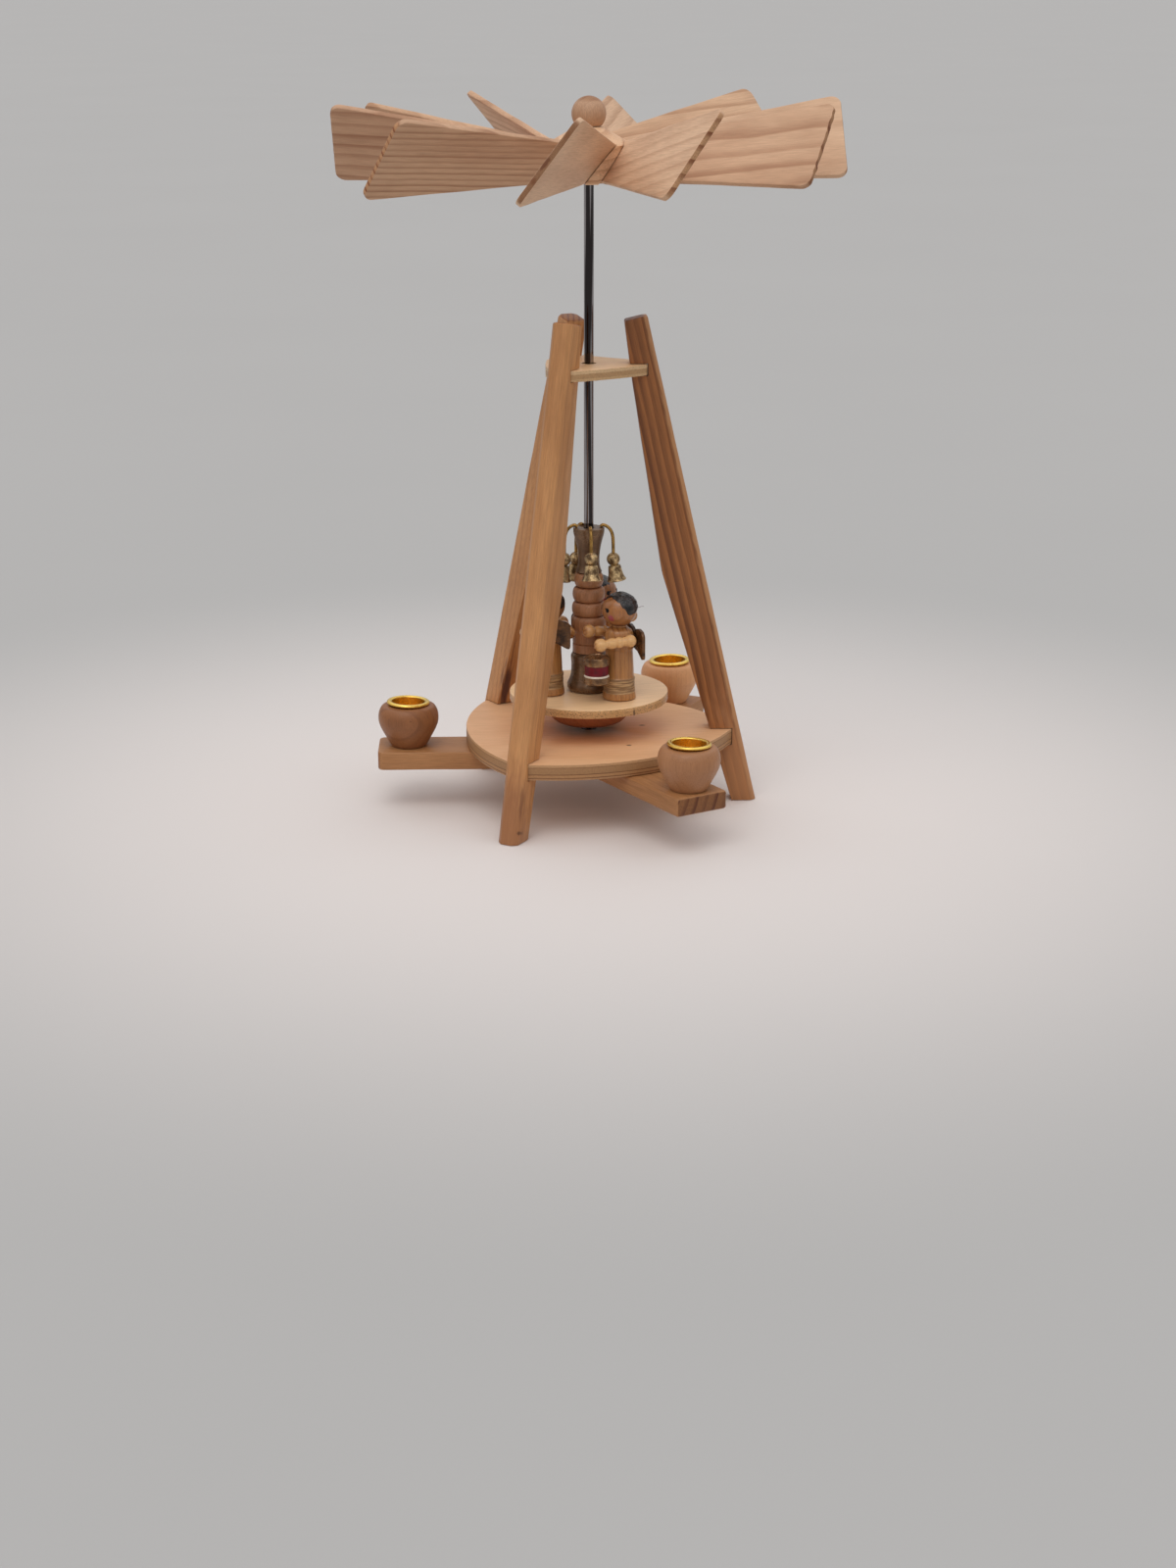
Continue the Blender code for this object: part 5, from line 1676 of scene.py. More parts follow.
@dataclass
class Figure:
    """One winged figure: banded skirt, turned arms, painted hair and an instrument."""

    place: str
    radial: float
    azimuth: float
    heading: float
    gaze: float
    rises: tuple[float, float]
    sides: tuple[float, float]
    wing_top: float
    instrument: Instrument
    base: float = 0.0487
    torso_radius: float = 0.0061
    band_radius: float = 0.0065
    skirt_radius: float = 0.0061
    shoulder_height: float = 0.0288
    neck_height: float = 0.0312
    neck_radius: float = 0.0030
    head_height: float = 0.0378
    head_radius: float = 0.0073
    crown_flat: float = 0.90
    ball_radius: float = 0.0026
    hand_radius: float = 0.0028
    sleeve_radius: float = 0.0020
    backset: float = 0.0013
    hand_forward: float = 0.0112
    shoulder_drop: float = 0.0026
    wing_span: float = 0.0098
    wing_height: float = 0.0124
    wing_arch: float = 0.0020
    wing_root: float = 0.0072
    wing_thickness: float = 0.0014
    wing_corner: float = 0.4 * MM
    wing_round: float = 0.25 * MM
    cheek_side: float = 40.0
    cheek_rise: float = -21.5
    paint_depth: float = 0.00022
    # Darker tint of the right arm's wood: painted shade, for the far arm in the column's shade.
    right_arm_painted_shade: Colour = (0.80, 0.70, 0.62)
    spot: Matrix = field(init=False)

    def __post_init__(self) -> None:
        """Work out where the figure stands."""
        self.spot = stand_at(polar(self.radial, self.azimuth, self.base)) @ turn(self.heading)

    @property
    def stem(self) -> str:
        """Return the start of the figure's names."""
        return "figure_" + self.place

    def make_body(self) -> None:
        """Make the body with its two bronze bands above a bare hem."""
        profile = [(0.0, self.neck_height), (self.neck_radius, self.neck_height)]
        profile += flowing([
            (0.0031, self.neck_height - 0.0006), (0.0038, self.shoulder_height + 0.0013),
            (0.0053, self.shoulder_height), (0.00605, self.shoulder_height - 0.0026),
            (0.0061, 0.0240), (0.0060, 0.0218), (0.0057, 0.0208),
        ])
        profile += flowing([(0.00565, 0.0204), (0.0058, 0.0170), (0.0060, 0.0130), (0.0061, 0.0096)])
        profile += [
            (0.0064, 0.0091), (0.0066, 0.0088), (0.0066, 0.0078), (0.0063, 0.0076), (0.0063, 0.0073),
            (0.0065, 0.0071), (0.0065, 0.0060), (0.0062, 0.0058), (0.0065, 0.0056), (0.0066, 0.0030),
        ]
        profile += flowing([(0.0067, 0.0028), (0.0069, 0.0014), (0.0070, 0.0003)], 3)
        profile += [(0.0067, 0.0), (0.0, 0.0)]
        cage = lathe(profile, 56)
        paint_bands(cage, [(0.0029, 0.0093, 1)])
        grain = self.spot @ turn(self.heading * 2.0) @ UPRIGHT_GRAIN
        cut = Cut(1.8 * MM, (9.0 * MM, 6.0 * MM), 0.3 * MM, seed=self.azimuth / 30.0)
        finishes = [FIGURE_WOOD.make(self.stem + "_wood", grain, cut), BAND_GOLD.make(self.stem + "_bands")]
        node = self.stem + "_body"
        publish("turned_" + self.stem, cage, finishes, "rotor", "figure_wood", [node], self.spot)

    def make_head(self) -> None:
        """Make the ball head with painted cheeks, eyes, mouth and hair."""
        radius = self.head_radius
        flat = self.head_height - self.neck_height - CLEARANCE
        low = -math.degrees(math.asin(flat / radius))
        profile = ball_run((0.0, 0.0), radius, 90.0, low, 26) + [(0.0, -flat)]
        neck = Matrix.Translation((0.0, 0.0, self.head_height))
        skull = self.spot @ neck @ turn(self.gaze - self.heading)
        wood = HEAD_WOOD.make(
            self.stem + "_face",
            skull @ UPRIGHT_GRAIN,
            Cut(1.7 * MM, (-22.0 * MM, 16.0 * MM), 0.3 * MM, seed=self.gaze / 50.0),
            extra=lambda recipe, base: self.blush(recipe, base, skull),
        )
        name = self.stem + "_head"
        cage = lathe(profile, 56)
        self.flatten_crown(cage)
        publish("turned_" + name, cage, [wood], "rotor", "limb_wood", [name], skull)
        self.make_features(skull)
        self.make_hair(skull)

    def flatten_crown(self, cage: Cage) -> None:
        """Lower the upper half of a head, which is turned a little flatter than a ball.

        Args:
            cage: The shape, with the head's centre at its origin.
        """
        for vert in cage.verts:
            if vert.co.z > 0.0:
                vert.co.z *= self.crown_flat

    def on_head(self, side: float, rise: float) -> Vector:
        """Return a point on the head.

        Args:
            side: Degrees to the side of the gaze.
            rise: Degrees above the head's level.

        Returns:
            The point, measured from the head's centre.
        """
        level = math.radians(rise)
        return polar(self.head_radius * math.cos(level), side, self.head_radius * math.sin(level))

    def blush(self, recipe: Recipe, base: Socket, skull: Matrix) -> Socket:
        """Return the face's colour with two soft pink cheeks.

        Args:
            recipe: The head's node tree.
            base: Colour of the wood.
            skull: Where the head stands.

        Returns:
            The colour.
        """
        where = recipe.here()
        for side in (-1.0, 1.0):
            centre = skull @ self.on_head(self.cheek_side * side, self.cheek_rise)
            distance = recipe.vector("DISTANCE", where, tuple(centre))
            ragged = recipe.calc("MULTIPLY", recipe.noise(where, 1300.0), 0.9 * MM)
            share = recipe.span(recipe.calc("ADD", distance, ragged), 1.3 * MM, 2.4 * MM, 0.85, 0.0)
            base = recipe.mix(share, base, CHEEK_ROSE)
        return base

    def make_features(self, skull: Matrix) -> None:
        """Make the raised dots of paint that are the eyes, brows and mouth.

        Args:
            skull: Where the head stands.
        """
        black = EYE_ENAMEL.make(self.stem + "_eye_paint")
        red = CRIMSON_ENAMEL.make(self.stem + "_mouth_paint")
        cage = bmesh.new()
        dots = (
            (27.5, 4.5, 0.00088, 0.00092, 0), (-27.5, 4.5, 0.00088, 0.00092, 0),
            (0.0, -26.0, 0.00080, 0.00036, 1),
            (21.0, 9.0, 0.00090, 0.00020, 0), (-21.0, 9.0, 0.00090, 0.00020, 0),
        )
        for side, rise, across, high, index in dots:
            outward = self.on_head(side, rise).normalized()
            facing = outward.to_track_quat("X", "Z").to_matrix().to_4x4()
            shape = Matrix.Diagonal((self.paint_depth, across, high, 1.0))
            place = stand_at(outward * (self.head_radius - 0.00002)) @ facing @ shape
            made = bmesh.ops.create_uvsphere(cage, u_segments=20, v_segments=12, radius=1.0, matrix=place)
            for face in {face for vert in made["verts"] for face in vert.link_faces}:
                face.material_index = index
        bmesh.ops.recalc_face_normals(cage, faces=cage.faces)
        publish("painted_" + self.stem + "_features", cage, [black, red], "rotor", "limb_wood", (), skull)

    def make_hair(self, skull: Matrix) -> None:
        """Make the thick black paint of the hair, over the crown and down the sides and back.

        Args:
            skull: Where the head stands.
        """
        cage = bmesh.new()
        bmesh.ops.create_uvsphere(cage, u_segments=96, v_segments=64, radius=1.0)
        cut_plane(cage, ORIGIN, Z_AXIS, clear_inner=True)
        for vert in cage.verts:
            azimuth = math.degrees(math.atan2(vert.co.y, vert.co.x))
            share = math.degrees(math.acos(min(1.0, vert.co.z))) / 90.0
            level = 90.0 - share * (90.0 - self.hairline(azimuth))
            ray = polar(math.cos(math.radians(level)), azimuth, math.sin(math.radians(level)))
            curl = noise.noise(ray * 3.0 + Vector((self.azimuth, 0.0, 0.0)))
            strand = math.sin((ray.x * 1.6 + ray.z) * 13.0 + curl * 6.0)
            back = 0.5 - 0.5 * math.cos(math.radians(azimuth))
            thick = 0.24 + 0.62 * back + 0.16 * curl + 0.13 * strand
            proud = thick * (1.0 - share**6) - 0.1
            vert.co = ray * (self.head_radius + proud * MM)
        self.flatten_crown(cage)
        bmesh.ops.holes_fill(cage, edges=cage.edges, sides=0)
        bmesh.ops.recalc_face_normals(cage, faces=cage.faces)
        paint = BLACK_ENAMEL.make(self.stem + "_hair_paint")
        publish("painted_" + self.stem + "_hair", cage, [paint], "rotor", "limb_wood", (), skull)
        if self.instrument is Instrument.DRUM:
            self.make_stray_thread(skull)

    def make_stray_thread(self, skull: Matrix) -> None:
        """Make the fine bent thread that stands out from the back of the hair.

        Args:
            skull: Where the head stands.
        """
        out = self.head_radius
        bends = (
            (-out, 0.0, 0.4 * MM), (-out - 1.2 * MM, 0.1 * MM, -0.2 * MM),
            (-out - 2.3 * MM, 0.0, 0.5 * MM), (-out - 3.4 * MM, -0.1 * MM, 0.2 * MM),
        )
        places = [skull @ Vector(bend) for bend in bends]
        piece = bend_wire("stray_thread", places, 0.11 * MM, STEEL.make("stray_thread_steel"))
        settle_piece(piece, "rotor", "steel", ())

    @staticmethod
    def hairline(azimuth: float) -> float:
        """Return how far above the head's level the hair ends.

        Args:
            azimuth: Degrees round from the gaze.

        Returns:
            The rise in degrees.
        """
        turns = (
            (-180.0, -2.0), (-130.0, -8.0), (-98.0, -5.0), (-78.0, 14.0), (-50.0, 28.0), (-17.0, 30.0),
            (0.0, 44.0), (15.0, 55.0), (45.0, 48.0), (70.0, 34.0), (84.0, 14.0), (104.0, -13.0),
            (130.0, -11.0), (180.0, -2.0),
        )
        for (low, start), (high, end) in zip(turns, turns[1:]):
            if low <= azimuth <= high:
                share = (azimuth - low) / (high - low)
                return start + (end - start) * share * share * (3.0 - 2.0 * share)
        return 0.0

    def limb_profile(self, length: float) -> list[Point]:
        """Return an arm's profile: a hand ball, a slim wrist, a bead and a shoulder ball.

        Args:
            length: From the shoulder's centre to the hand's.

        Returns:
            Radius and height of each point.
        """
        hand, ball, sleeve = self.hand_radius, self.ball_radius, self.sleeve_radius
        wrist = length - hand * 0.86
        elbow = ball * 1.95
        profile = ball_run((0.0, length), hand, 90.0, -44.0, 12)
        profile += flowing([
            (sleeve * 0.84, wrist), (sleeve * 0.86, wrist - 0.0004),
            (sleeve * 1.12, (wrist + elbow) / 2 + 0.0008), (sleeve * 1.02, elbow + 0.0014),
            (sleeve * 0.92, elbow + 0.0010), (sleeve * 1.18, elbow), (sleeve * 1.10, elbow - 0.0009),
            (sleeve * 0.90, ball * 1.16), (sleeve * 0.96, ball * 0.98),
        ])
        profile += ball_run((0.0, 0.0), ball, 42.0, -90.0, 12)
        return profile

    def make_arms(self) -> None:
        """Make both arms, reaching forward beside the torso."""
        side_reach = self.torso_radius + CLEARANCE + self.ball_radius
        start = self.shoulder_height - self.shoulder_drop
        for side, sign, rise, aside in zip(("left", "right"), (1.0, -1.0), self.rises, self.sides):
            run = Vector((self.hand_forward + self.backset, sign * (aside - side_reach), rise))
            aim = run.to_track_quat("Z", "Y").to_matrix().to_4x4()
            place = self.spot @ Matrix.Translation((-self.backset, sign * side_reach, start)) @ aim
            name = self.stem + "_arm_" + side
            # Painted shade: the right arm's wood is darkened, as if in the column's shade.
            tint = (1.0, 1.0, 1.0) if side == "left" else self.right_arm_painted_shade
            cut = Cut(1.5 * MM, (6.0 * MM, 4.0 * MM), 0.3 * MM, seed=sign + 5.0, tint=tint)
            wood = LIMB_WOOD.make(name + "_wood", place @ UPRIGHT_GRAIN, cut)
            cage = lathe(self.limb_profile(run.length), 36)
            publish("turned_" + name, cage, [wood], "rotor", "limb_wood", [name], place)

    def make_wings(self) -> None:
        """Make the pair of wings, a flat slab with rounded edges and a faintly uneven surface."""
        span, high, arch = self.wing_span, self.wing_height, self.wing_arch
        root = arch + self.wing_root
        half = [
            (0.0, -arch), (span * 0.22, -arch * 0.30), (span * 0.50, 0.0), (span * 0.82, -arch * 0.40),
            (span * 0.97, -arch * 1.10), (span, -arch * 1.60), (span, -high * 0.93),
            (span * 0.95, -high), (span * 0.86, -high * 0.99), (span * 0.40, -root - arch * 0.30),
            (0.0, -root),
        ]
        outline = half + [(-x, y) for x, y in reversed(half[1:-1])]
        cage = slab(outline, self.wing_thickness)
        soften(cage, [edge for edge in cage.edges if climb(edge) > MM], self.wing_corner)
        soften(cage, sharp_edges(cage, 60.0), self.wing_round)
        for vert in cage.verts:
            vert.co += noise.noise_vector(vert.co * 220.0) * 0.1 * MM
        stood = turn(90.0) @ tilted(90.0, "X")
        back = -(self.skirt_radius + CLEARANCE + self.wing_thickness / 2)
        place = self.spot @ Matrix.Translation((back, 0.0, self.wing_top)) @ stood
        name = self.stem + "_wings"
        paint = WING_BRONZE.make(name + "_paint")
        publish("sawn_" + name, cage, [paint], "rotor", "bronze_paint", [name], place)

    def make_drum(self) -> None:
        """Make the drum with bronzed hoops round a crimson band."""
        hoop, shell, high = 0.0053, 0.0049, 0.0112
        profile = [
            (0.0, high - 0.0003), (hoop - 0.0007, high - 0.0003), (hoop - 0.0005, high),
            (hoop - 0.0002, high), (hoop, high - 0.0003), (hoop, high * 0.74),
            (hoop - 0.0001, high * 0.70), (shell, high * 0.69), (shell, high * 0.33),
            (shell + 0.0001, high * 0.32), (hoop, high * 0.27), (hoop, 0.0003),
            (hoop - 0.0003, 0.0), (0.0, 0.0),
        ]
        cage = lathe(profile, 56)
        paint_bands(cage, [(high * 0.34, high * 0.69, 1), (high * 0.28, high * 0.335, 2)])
        distance = self.band_radius + CLEARANCE + hoop
        place = self.spot @ stand_at(polar(distance, 18.0, 0.0082))
        coats = ((HOOP_BRONZE, "hoops"), (CRIMSON_ENAMEL, "band"), (WHITE_ENAMEL, "line"))
        finishes = [finish.make("drum_" + part) for finish, part in coats]
        name = self.stem + "_drum"
        publish("turned_" + name, cage, finishes, "rotor", "red_paint", [name], place)

    @property
    def free_width(self) -> float:
        """Return the width between the hands."""
        return sum(self.sides) - 2 * (self.hand_radius + CLEARANCE)

    @property
    def grip(self) -> Vector:
        """Return the point midway between the hands."""
        level = self.shoulder_height - self.shoulder_drop + sum(self.rises) / 2
        return Vector((self.hand_forward, (self.sides[0] - self.sides[1]) / 2, level))

    def make_book(self) -> None:
        """Make the song book: a cover, a block of pages and a rounded spine fold."""
        thickness, high = 0.0016, 0.0075
        cage = bmesh.new()
        shape = Matrix.Diagonal((thickness, self.free_width, high, 1.0))
        bmesh.ops.create_cube(cage, size=1.0, matrix=shape)
        front = [face for face in cage.faces if face.normal.x < -0.9]
        inset = bmesh.ops.inset_region(cage, faces=front, thickness=0.0005, depth=0.0)
        pages = [face for face in cage.faces if face.normal.x < -0.9 and face not in inset["faces"]]
        for face in pages:
            face.material_index = 1
        cut_plane(cage, ORIGIN, Y_AXIS)
        for vert in cage.verts:
            if abs(vert.co.y) < WELD and vert.co.x < 0.0:
                vert.co.x += 0.0004
        soften(cage, sharp_edges(cage, 70.0), 0.12 * MM)
        place = self.spot @ stand_at(self.grip + Vector((0.0, 0.0, high * 0.2))) @ tilted(28.0, "Y")
        finishes = [COVER_ENAMEL.make("book_cover"), WHITE_ENAMEL.make("book_pages")]
        name = self.stem + "_book"
        publish("bound_" + name, cage, finishes, "rotor", "paper", [name], place)

    def make_squeezebox(self) -> None:
        """Make the squeezebox: round end plates with soft pleats between them."""
        width, full, fold, pleats = self.free_width, 0.0034, 0.0006, 5
        half, ease = width / 2, 0.0002
        step = width * 0.70 / pleats
        profile = [(0.0, half), (full - ease, half), (full, half - ease), (full, width * 0.36)]
        for index in range(pleats):
            top = width * 0.35 - step * index
            pleat = [(full - fold, top), (full - 0.0001, top - step / 2), (full - fold, top - step)]
            profile += flowing(pleat, 3)[:-1]
        profile += [(full - fold, -width * 0.35), (full, -width * 0.36), (full, ease - half)]
        profile += [(full - ease, -half), (0.0, -half)]
        cage = lathe(profile, 40)
        paint_bands(cage, [(-width * 0.355, width * 0.355, 1)])
        place = self.spot @ stand_at(self.grip) @ tilted(-90.0, "X")
        finishes = [BAND_GOLD.make("squeezebox_ends"), SCARLET_ENAMEL.make("squeezebox_pleats")]
        name = self.stem + "_squeezebox"
        publish("turned_" + name, cage, finishes, "rotor", "red_paint", [name], place)

    def build(self) -> None:
        """Make the figure and what it holds."""
        self.make_body()
        self.make_head()
        self.make_arms()
        self.make_wings()
        makers = {
            Instrument.DRUM: self.make_drum,
            Instrument.SONG_BOOK: self.make_book,
            Instrument.SQUEEZEBOX: self.make_squeezebox,
        }
        makers[self.instrument]()


# The wing wheel


@dataclass
class WingWheel:
    """The hub, its ten hand-set blades and the ball on top."""

    azimuths: tuple[float, ...] = (
        326.0, 355.0, 36.0, 72.0, 108.0, 142.0, 174.0, 214.0, 256.0, 287.0,
    )
    pitches: tuple[float, ...] = (48.0, 48.0, 50.0, 45.0, 49.0, 48.0, 50.0, 50.0, 53.0, 53.0)
    lifts: tuple[float, ...] = (5.8, 6.0, 5.7, 3.6, 5.0, 3.2, 4.4, 3.0, 4.2, 5.7)
    cuts: tuple[Cut, ...] = (
        Cut(7.0 * MM, (70.0 * MM, -60.0 * MM), 1.6 * MM, 0.05, 1.0, (0.92, 0.88, 0.86), 0.66, 0.75),
        Cut(9.0 * MM, (-50.0 * MM, -90.0 * MM), 1.6 * MM, 0.0, 2.7, (1.0, 1.0, 1.0), 0.8, 0.35),
        Cut(6.0 * MM, (90.0 * MM, -30.0 * MM), 1.4 * MM, 0.0, 4.2, (1.0, 0.98, 0.96), 0.8, 0.6),
        Cut(5.0 * MM, (50.0 * MM, -40.0 * MM), 1.0 * MM, 0.1, 5.1, (1.0, 1.0, 1.0), 0.8, 0.6),
        Cut(4.0 * MM, (-60.0 * MM, -30.0 * MM), 0.8 * MM, 0.0, 6.8, (0.96, 0.92, 0.9), 0.7, 0.7),
        Cut(4.5 * MM, (70.0 * MM, -25.0 * MM), 0.8 * MM, -0.1, 8.5, (0.96, 0.93, 0.9), 0.9, 0.6),
        Cut(5.4 * MM, (-90.0 * MM, -30.0 * MM), 0.9 * MM, 0.02, 10.2, (0.84, 0.78, 0.76), 0.8, 0.95),
        Cut(2.9 * MM, (110.0 * MM, -25.0 * MM), 0.3 * MM, 0.0, 11.9, (0.84, 0.80, 0.78), 0.99, 0.8),
        Cut(12.0 * MM, (5.0 * MM, -130.0 * MM), 2.0 * MM, 0.0, 13.6, (1.0, 1.02, 1.04), 0.62, 0.15),
        Cut(5.6 * MM, (-80.0 * MM, -35.0 * MM), 0.6 * MM, -0.15, 15.3, (1.04, 1.04, 1.04), 0.66, 0.5),
    )
    scorches: tuple[Mark, ...] = (
        Mark((0.0849, -0.0195, 0.0), (0.0014, 0.0022, 0.0016), tone(84, 48, 28)),
        Mark((0.0849, -0.0085, 0.0), (0.0009, 0.0018, 0.0014), tone(128, 78, 48)),
        Mark((0.0849, -0.0010, 0.0004), (0.0009, 0.0042, 0.0012), tone(112, 64, 38)),
        Mark((0.0849, 0.0120, 0.0), (0.0007, 0.0026, 0.0010), tone(140, 92, 58)),
    )
    rags: tuple[float, ...] = (0.7, 0.1, 0.15, 0.1, 0.1, 0.1, 0.15, 0.1, 0.1, 0.15)
    hub_bottom: float = 0.2585
    hub_radius: float = 0.0169
    hub_top: float = 0.2799
    pivot_height: float = 0.2673
    sidestep: float = 0.0067
    root_radial: float = 0.0103
    tip_radial: float = 0.1018
    root_width: float = 0.0186
    tip_width: float = 0.0400
    thickness: float = 0.0022
    corner: float = 0.0045
    edge_round: float = 0.35 * MM
    knob_radius: float = 0.0069
    knob_flat: float = 0.0050
    pin_radius: float = 0.0020
    pin_length: float = 0.0035

    def blade_place(self, index: int) -> Matrix:
        """Return the placement of a blade: offset, lifted, then pitched.

        Args:
            index: Number of the blade, from 0.

        Returns:
            The placement.
        """
        stand = Matrix.Translation((self.hub_radius, self.sidestep, self.pivot_height))
        raised, pitched = tilted(-self.lifts[index], "Y"), tilted(self.pitches[index], "X")
        return turn(self.azimuths[index]) @ stand @ raised @ pitched

    def make_blade(self, index: int) -> None:
        """Make one blade: a thin board that widens to a tip with rounded corners.

        Args:
            index: Number of the blade, from 0.
        """
        root, tip = self.root_radial - self.hub_radius, self.tip_radial - self.hub_radius
        root_half, tip_half = self.root_width / 2, self.tip_width / 2
        outline = [(root, -root_half), (tip, -tip_half), (tip, tip_half), (root, root_half)]
        cage = slab(outline, self.thickness)
        corners = [edge for edge in cage.edges if least_of(edge) > tip - MM and climb(edge) > MM]
        soften(cage, corners, self.corner, 8)
        soften(cage, sharp_edges(cage, 60.0), self.edge_round)
        slice_across(cage, X_AXIS, root, tip, 14)
        slice_across(cage, Y_AXIS, -tip_half, tip_half, 32)
        for vert in cage.verts:
            where = Vector((vert.co.x * 60.0, vert.co.y * 60.0, index * 3.0))
            vert.co.z += noise.noise(where) * 0.25 * MM * min(1.0, (tip - vert.co.x) / (20.0 * MM))
            where = Vector((index * 5.0, vert.co.y * 420.0, vert.co.z * 200.0))
            rag = min(0.0, noise.noise(where) - 0.1)
            vert.co.x += rag * self.rags[index] * MM * max(0.0, 1.0 - (tip - vert.co.x) / (4.0 * MM))
        name = "blade_%02d" % (index + 1)
        place = self.blade_place(index)
        scorches = self.scorches if name == "blade_09" else ()
        material = BLADE_PINE.make(name + "_pine", place, self.cuts[index], scorches)
        publish("sawn_" + name, cage, [material], "wheel", "pale_pine", [name], place)

    def make_knob(self) -> None:
        """Make the ball with its pin down into the hub."""
        seat = self.hub_top + CLEARANCE
        centre = seat + math.sqrt(self.knob_radius**2 - self.knob_flat**2)
        low = -math.degrees(math.acos(self.knob_flat / self.knob_radius))
        profile = ball_run((0.0, centre), self.knob_radius, 90.0, low, 26)
        profile += [(self.pin_radius, seat), (self.pin_radius, self.hub_top - self.pin_length)]
        profile.append((0.0, self.hub_top - self.pin_length))
        cut = Cut(3.0 * MM, (14.0 * MM, 8.0 * MM), seed=21.0)
        material = KNOB_WOOD.make("knob_wood", UPRIGHT_GRAIN, cut)
        publish("turned_knob", lathe(profile, 64), [material], "wheel", "pale_pine", ["knob"])

    def build(self) -> None:
        """Make the blades and the knob, and dress the slotted hub."""
        for index in range(len(self.azimuths)):
            self.make_blade(index)
        self.make_knob()
        grain = Matrix.Translation((0.0, 0.0, self.hub_bottom))
        cut = Cut(3.2 * MM, (5.0 * MM, -30.0 * MM), seed=14.0)
        dress_node("wheel_hub", HUB_PINE.make("hub_pine_wood", grain, cut))


# The studio


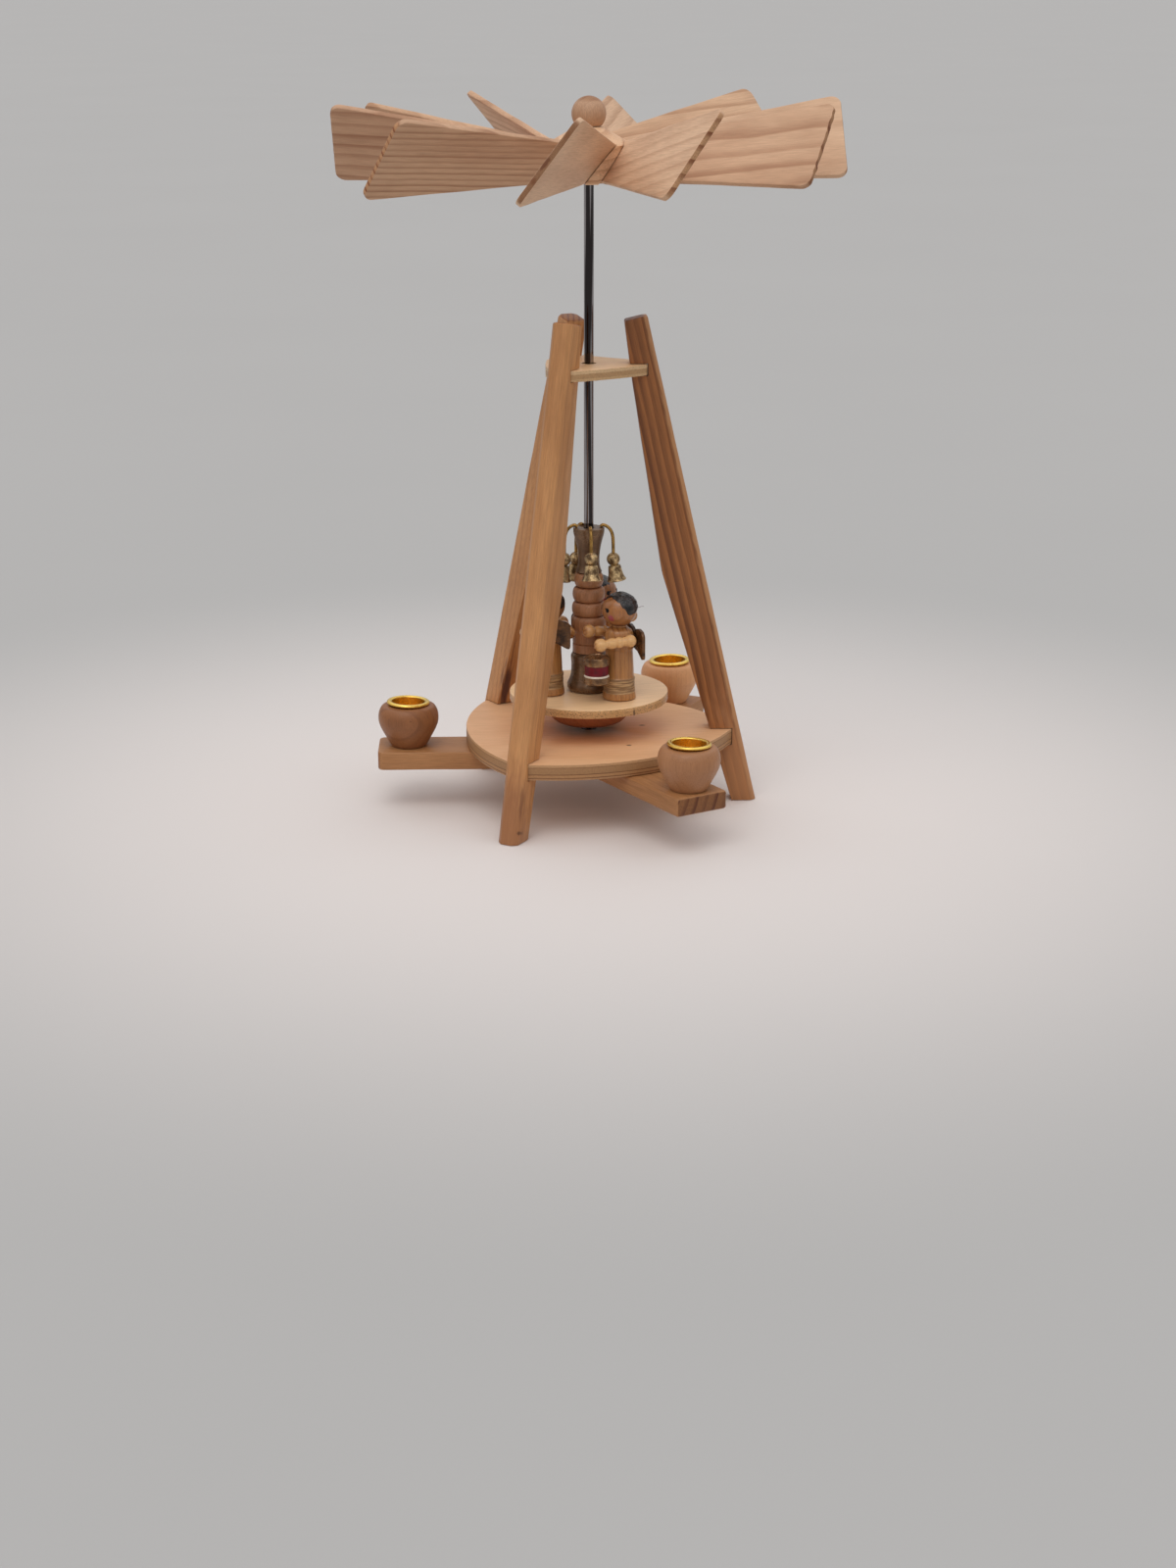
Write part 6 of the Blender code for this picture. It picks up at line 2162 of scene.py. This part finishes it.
@dataclass
class Studio:
    """A pale floor, soft light from above and the camera, whose pitch is in radians."""

    lens: float = 61.60
    sensor: float = 36.0
    roll: float = -1.75
    pitch: float = 0.3025
    camera_place: Triple = (-0.00034, -1.094355, 0.348046)
    floor_size: float = 200.0
    # The near tone is partly a painted pool of light round the pyramid, partly the paler surface under it.
    floor_near: Colour = tone(230, 223, 219)
    floor_far: Colour = tone(180, 179, 177)
    sun_power: float = 0.62
    sun_spread: float = 40.0
    sun_place: Point = (-108.0, 56.0)
    sky_horizon: float = 0.26
    sky_zenith: float = 1.20
    glow_radius: float = 0.45

    def make_camera(self) -> None:
        """Set the camera at the viewing angle of a 1200 by 1600 upright picture."""
        data = bpy.data.cameras.new("camera")
        data.sensor_fit = "VERTICAL"
        data.sensor_height = self.sensor
        data.sensor_width = self.sensor
        data.lens = self.lens
        data.clip_start = 0.05
        data.clip_end = 60.0
        camera = add_object("camera", data)
        camera.matrix_world = (
            turn(self.roll)
            @ Matrix.Translation(self.camera_place)
            @ Matrix.Rotation(math.radians(90.0) - self.pitch, 4, "X")
        )
        bpy.context.scene.camera = camera

    def make_floor(self) -> None:
        """Lay the floor, a pale matt sheet, paler round the pyramid: painted light and a whiter surface."""
        cage = bmesh.new()
        bmesh.ops.create_grid(cage, x_segments=2, y_segments=2, size=self.floor_size / 2)
        mesh = bpy.data.meshes.new("floor")
        cage.to_mesh(mesh)
        cage.free()
        recipe = Recipe("floor_sheet")
        where = recipe.here()
        distance = recipe.vector("LENGTH", where, tuple(ORIGIN))
        # Painted pool of light: the floor's tone pales towards the pyramid, partly also for the paler
        # surface.
        far = recipe.span(distance, 0.05, self.glow_radius)
        colour = recipe.mix(far, self.floor_near, self.floor_far)
        clouds = recipe.noise(where, 3.0, detail=3.0)
        colour = recipe.shaded(colour, recipe.ramp(clouds, ((0.3, 0.985), (0.7, 1.0))))
        recipe.feed(recipe.shader.inputs["Base Color"], colour)
        recipe.settle(Roughness=0.75, Specular_IOR_Level=0.2)
        mesh.materials.append(recipe.material)
        floor = add_object("floor", mesh)
        floor.location.z = -0.0001

    def make_sun(self) -> None:
        """Hang one very broad light, high and a little to the left of the camera."""
        data = bpy.data.lights.new("ceiling_light", "SUN")
        data.energy = self.sun_power
        data.angle = math.radians(self.sun_spread)
        data.color = tone(255, 250, 246)
        azimuth, height = self.sun_place
        away = polar(math.cos(math.radians(height)), azimuth, math.sin(math.radians(height)))
        light = add_object("ceiling_light", data)
        light.rotation_euler = away.to_track_quat("Z", "Y").to_euler()

    def make_sky(self) -> None:
        """Set the soft light that comes from all round, stronger from overhead."""
        world = bpy.data.worlds.new("soft_room")
        world.use_nodes = True
        tree = world.node_tree
        background = tree.nodes["Background"]
        background.inputs["Color"].default_value = (*tone(250, 250, 252), 1.0)
        direction = tree.nodes.new("ShaderNodeTexCoord")
        parts = tree.nodes.new("ShaderNodeSeparateXYZ")
        tree.links.new(direction.outputs["Generated"], parts.inputs[0])
        height = tree.nodes.new("ShaderNodeMapRange")
        tree.links.new(parts.outputs[2], height.inputs[0])
        height.inputs[3].default_value = self.sky_horizon
        height.inputs[4].default_value = self.sky_zenith
        tree.links.new(height.outputs[0], background.inputs["Strength"])
        bpy.context.scene.world = world

    def build(self) -> None:
        """Set up the whole studio."""
        self.make_camera()
        self.make_floor()
        self.make_sky()
        self.make_sun()
        bpy.context.scene.view_settings.view_transform = "Standard"
        bpy.context.scene.view_settings.look = "None"
        log.info("studio ready")


def candle_places() -> list[CandlePlace]:
    """Return the three candle places.

    Returns:
        The places, back right first.
    """
    return [
        CandlePlace(
            "back_right", 60.0, 0.0891, BRIGHT_HOLDER_WOOD,
            Cut(3.0 * MM, (50.0 * MM, -24.0 * MM), seed=1.0, ring_strength=0.4),
            cup_tilt=1.5, cup_tilt_azimuth=200.0,
        ),
        CandlePlace(
            "left", 180.0, 0.0891, HOLDER_WOOD,
            Cut(1.7 * MM, (-70.0 * MM, 6.0 * MM), 0.2 * MM, seed=2.5, end_shade=0.75, ring_strength=0.45),
            cup_tilt=2.0, cup_tilt_azimuth=20.0, drops=((-84.0, 0.0137),),
        ),
        CandlePlace(
            "front_right", 300.0, 0.0862, PALE_HOLDER_WOOD,
            Cut(4.4 * MM, (-60.0 * MM, 22.0 * MM), 0.3 * MM, seed=4.0, end_shade=0.54, ring_strength=0.35),
            cup_tilt=2.4, cup_tilt_azimuth=35.0, end_round=0.0012, rim_round=0.0011,
        ),
    ]


def figures() -> list[Figure]:
    """Return the three figures.

    Returns:
        The figures, front right first.
    """
    return [
        Figure(
            "front_right", 0.0183, 312.0, 199.0, 197.0, (-0.0011, 0.0017), (0.0074, 0.0060), 0.0299,
            Instrument.DRUM,
        ),
        Figure(
            "left", 0.0181, 196.6, 86.0, 80.0, (0.0014, 0.0014), (0.0074, 0.0054), 0.0330,
            Instrument.SONG_BOOK,
        ),
        Figure(
            "back_right", 0.0197, 74.7, 318.0, 326.0, (0.0014, 0.0014), (0.0074, 0.0074), 0.0299,
            Instrument.SQUEEZEBOX,
        ),
    ]


def main() -> None:
    """Build the studio and every sub-assembly in order."""
    logging.basicConfig(level=logging.INFO, format="%(name)s: %(message)s")
    noise.seed_set(SWAY_SEED)
    Studio().build()
    Stand().build()
    for place in candle_places():
        place.build()
    Spindle().build()
    BellSpray().build()
    for figure in figures():
        figure.build()
    WingWheel().build()


if __name__ == "__main__":
    main()
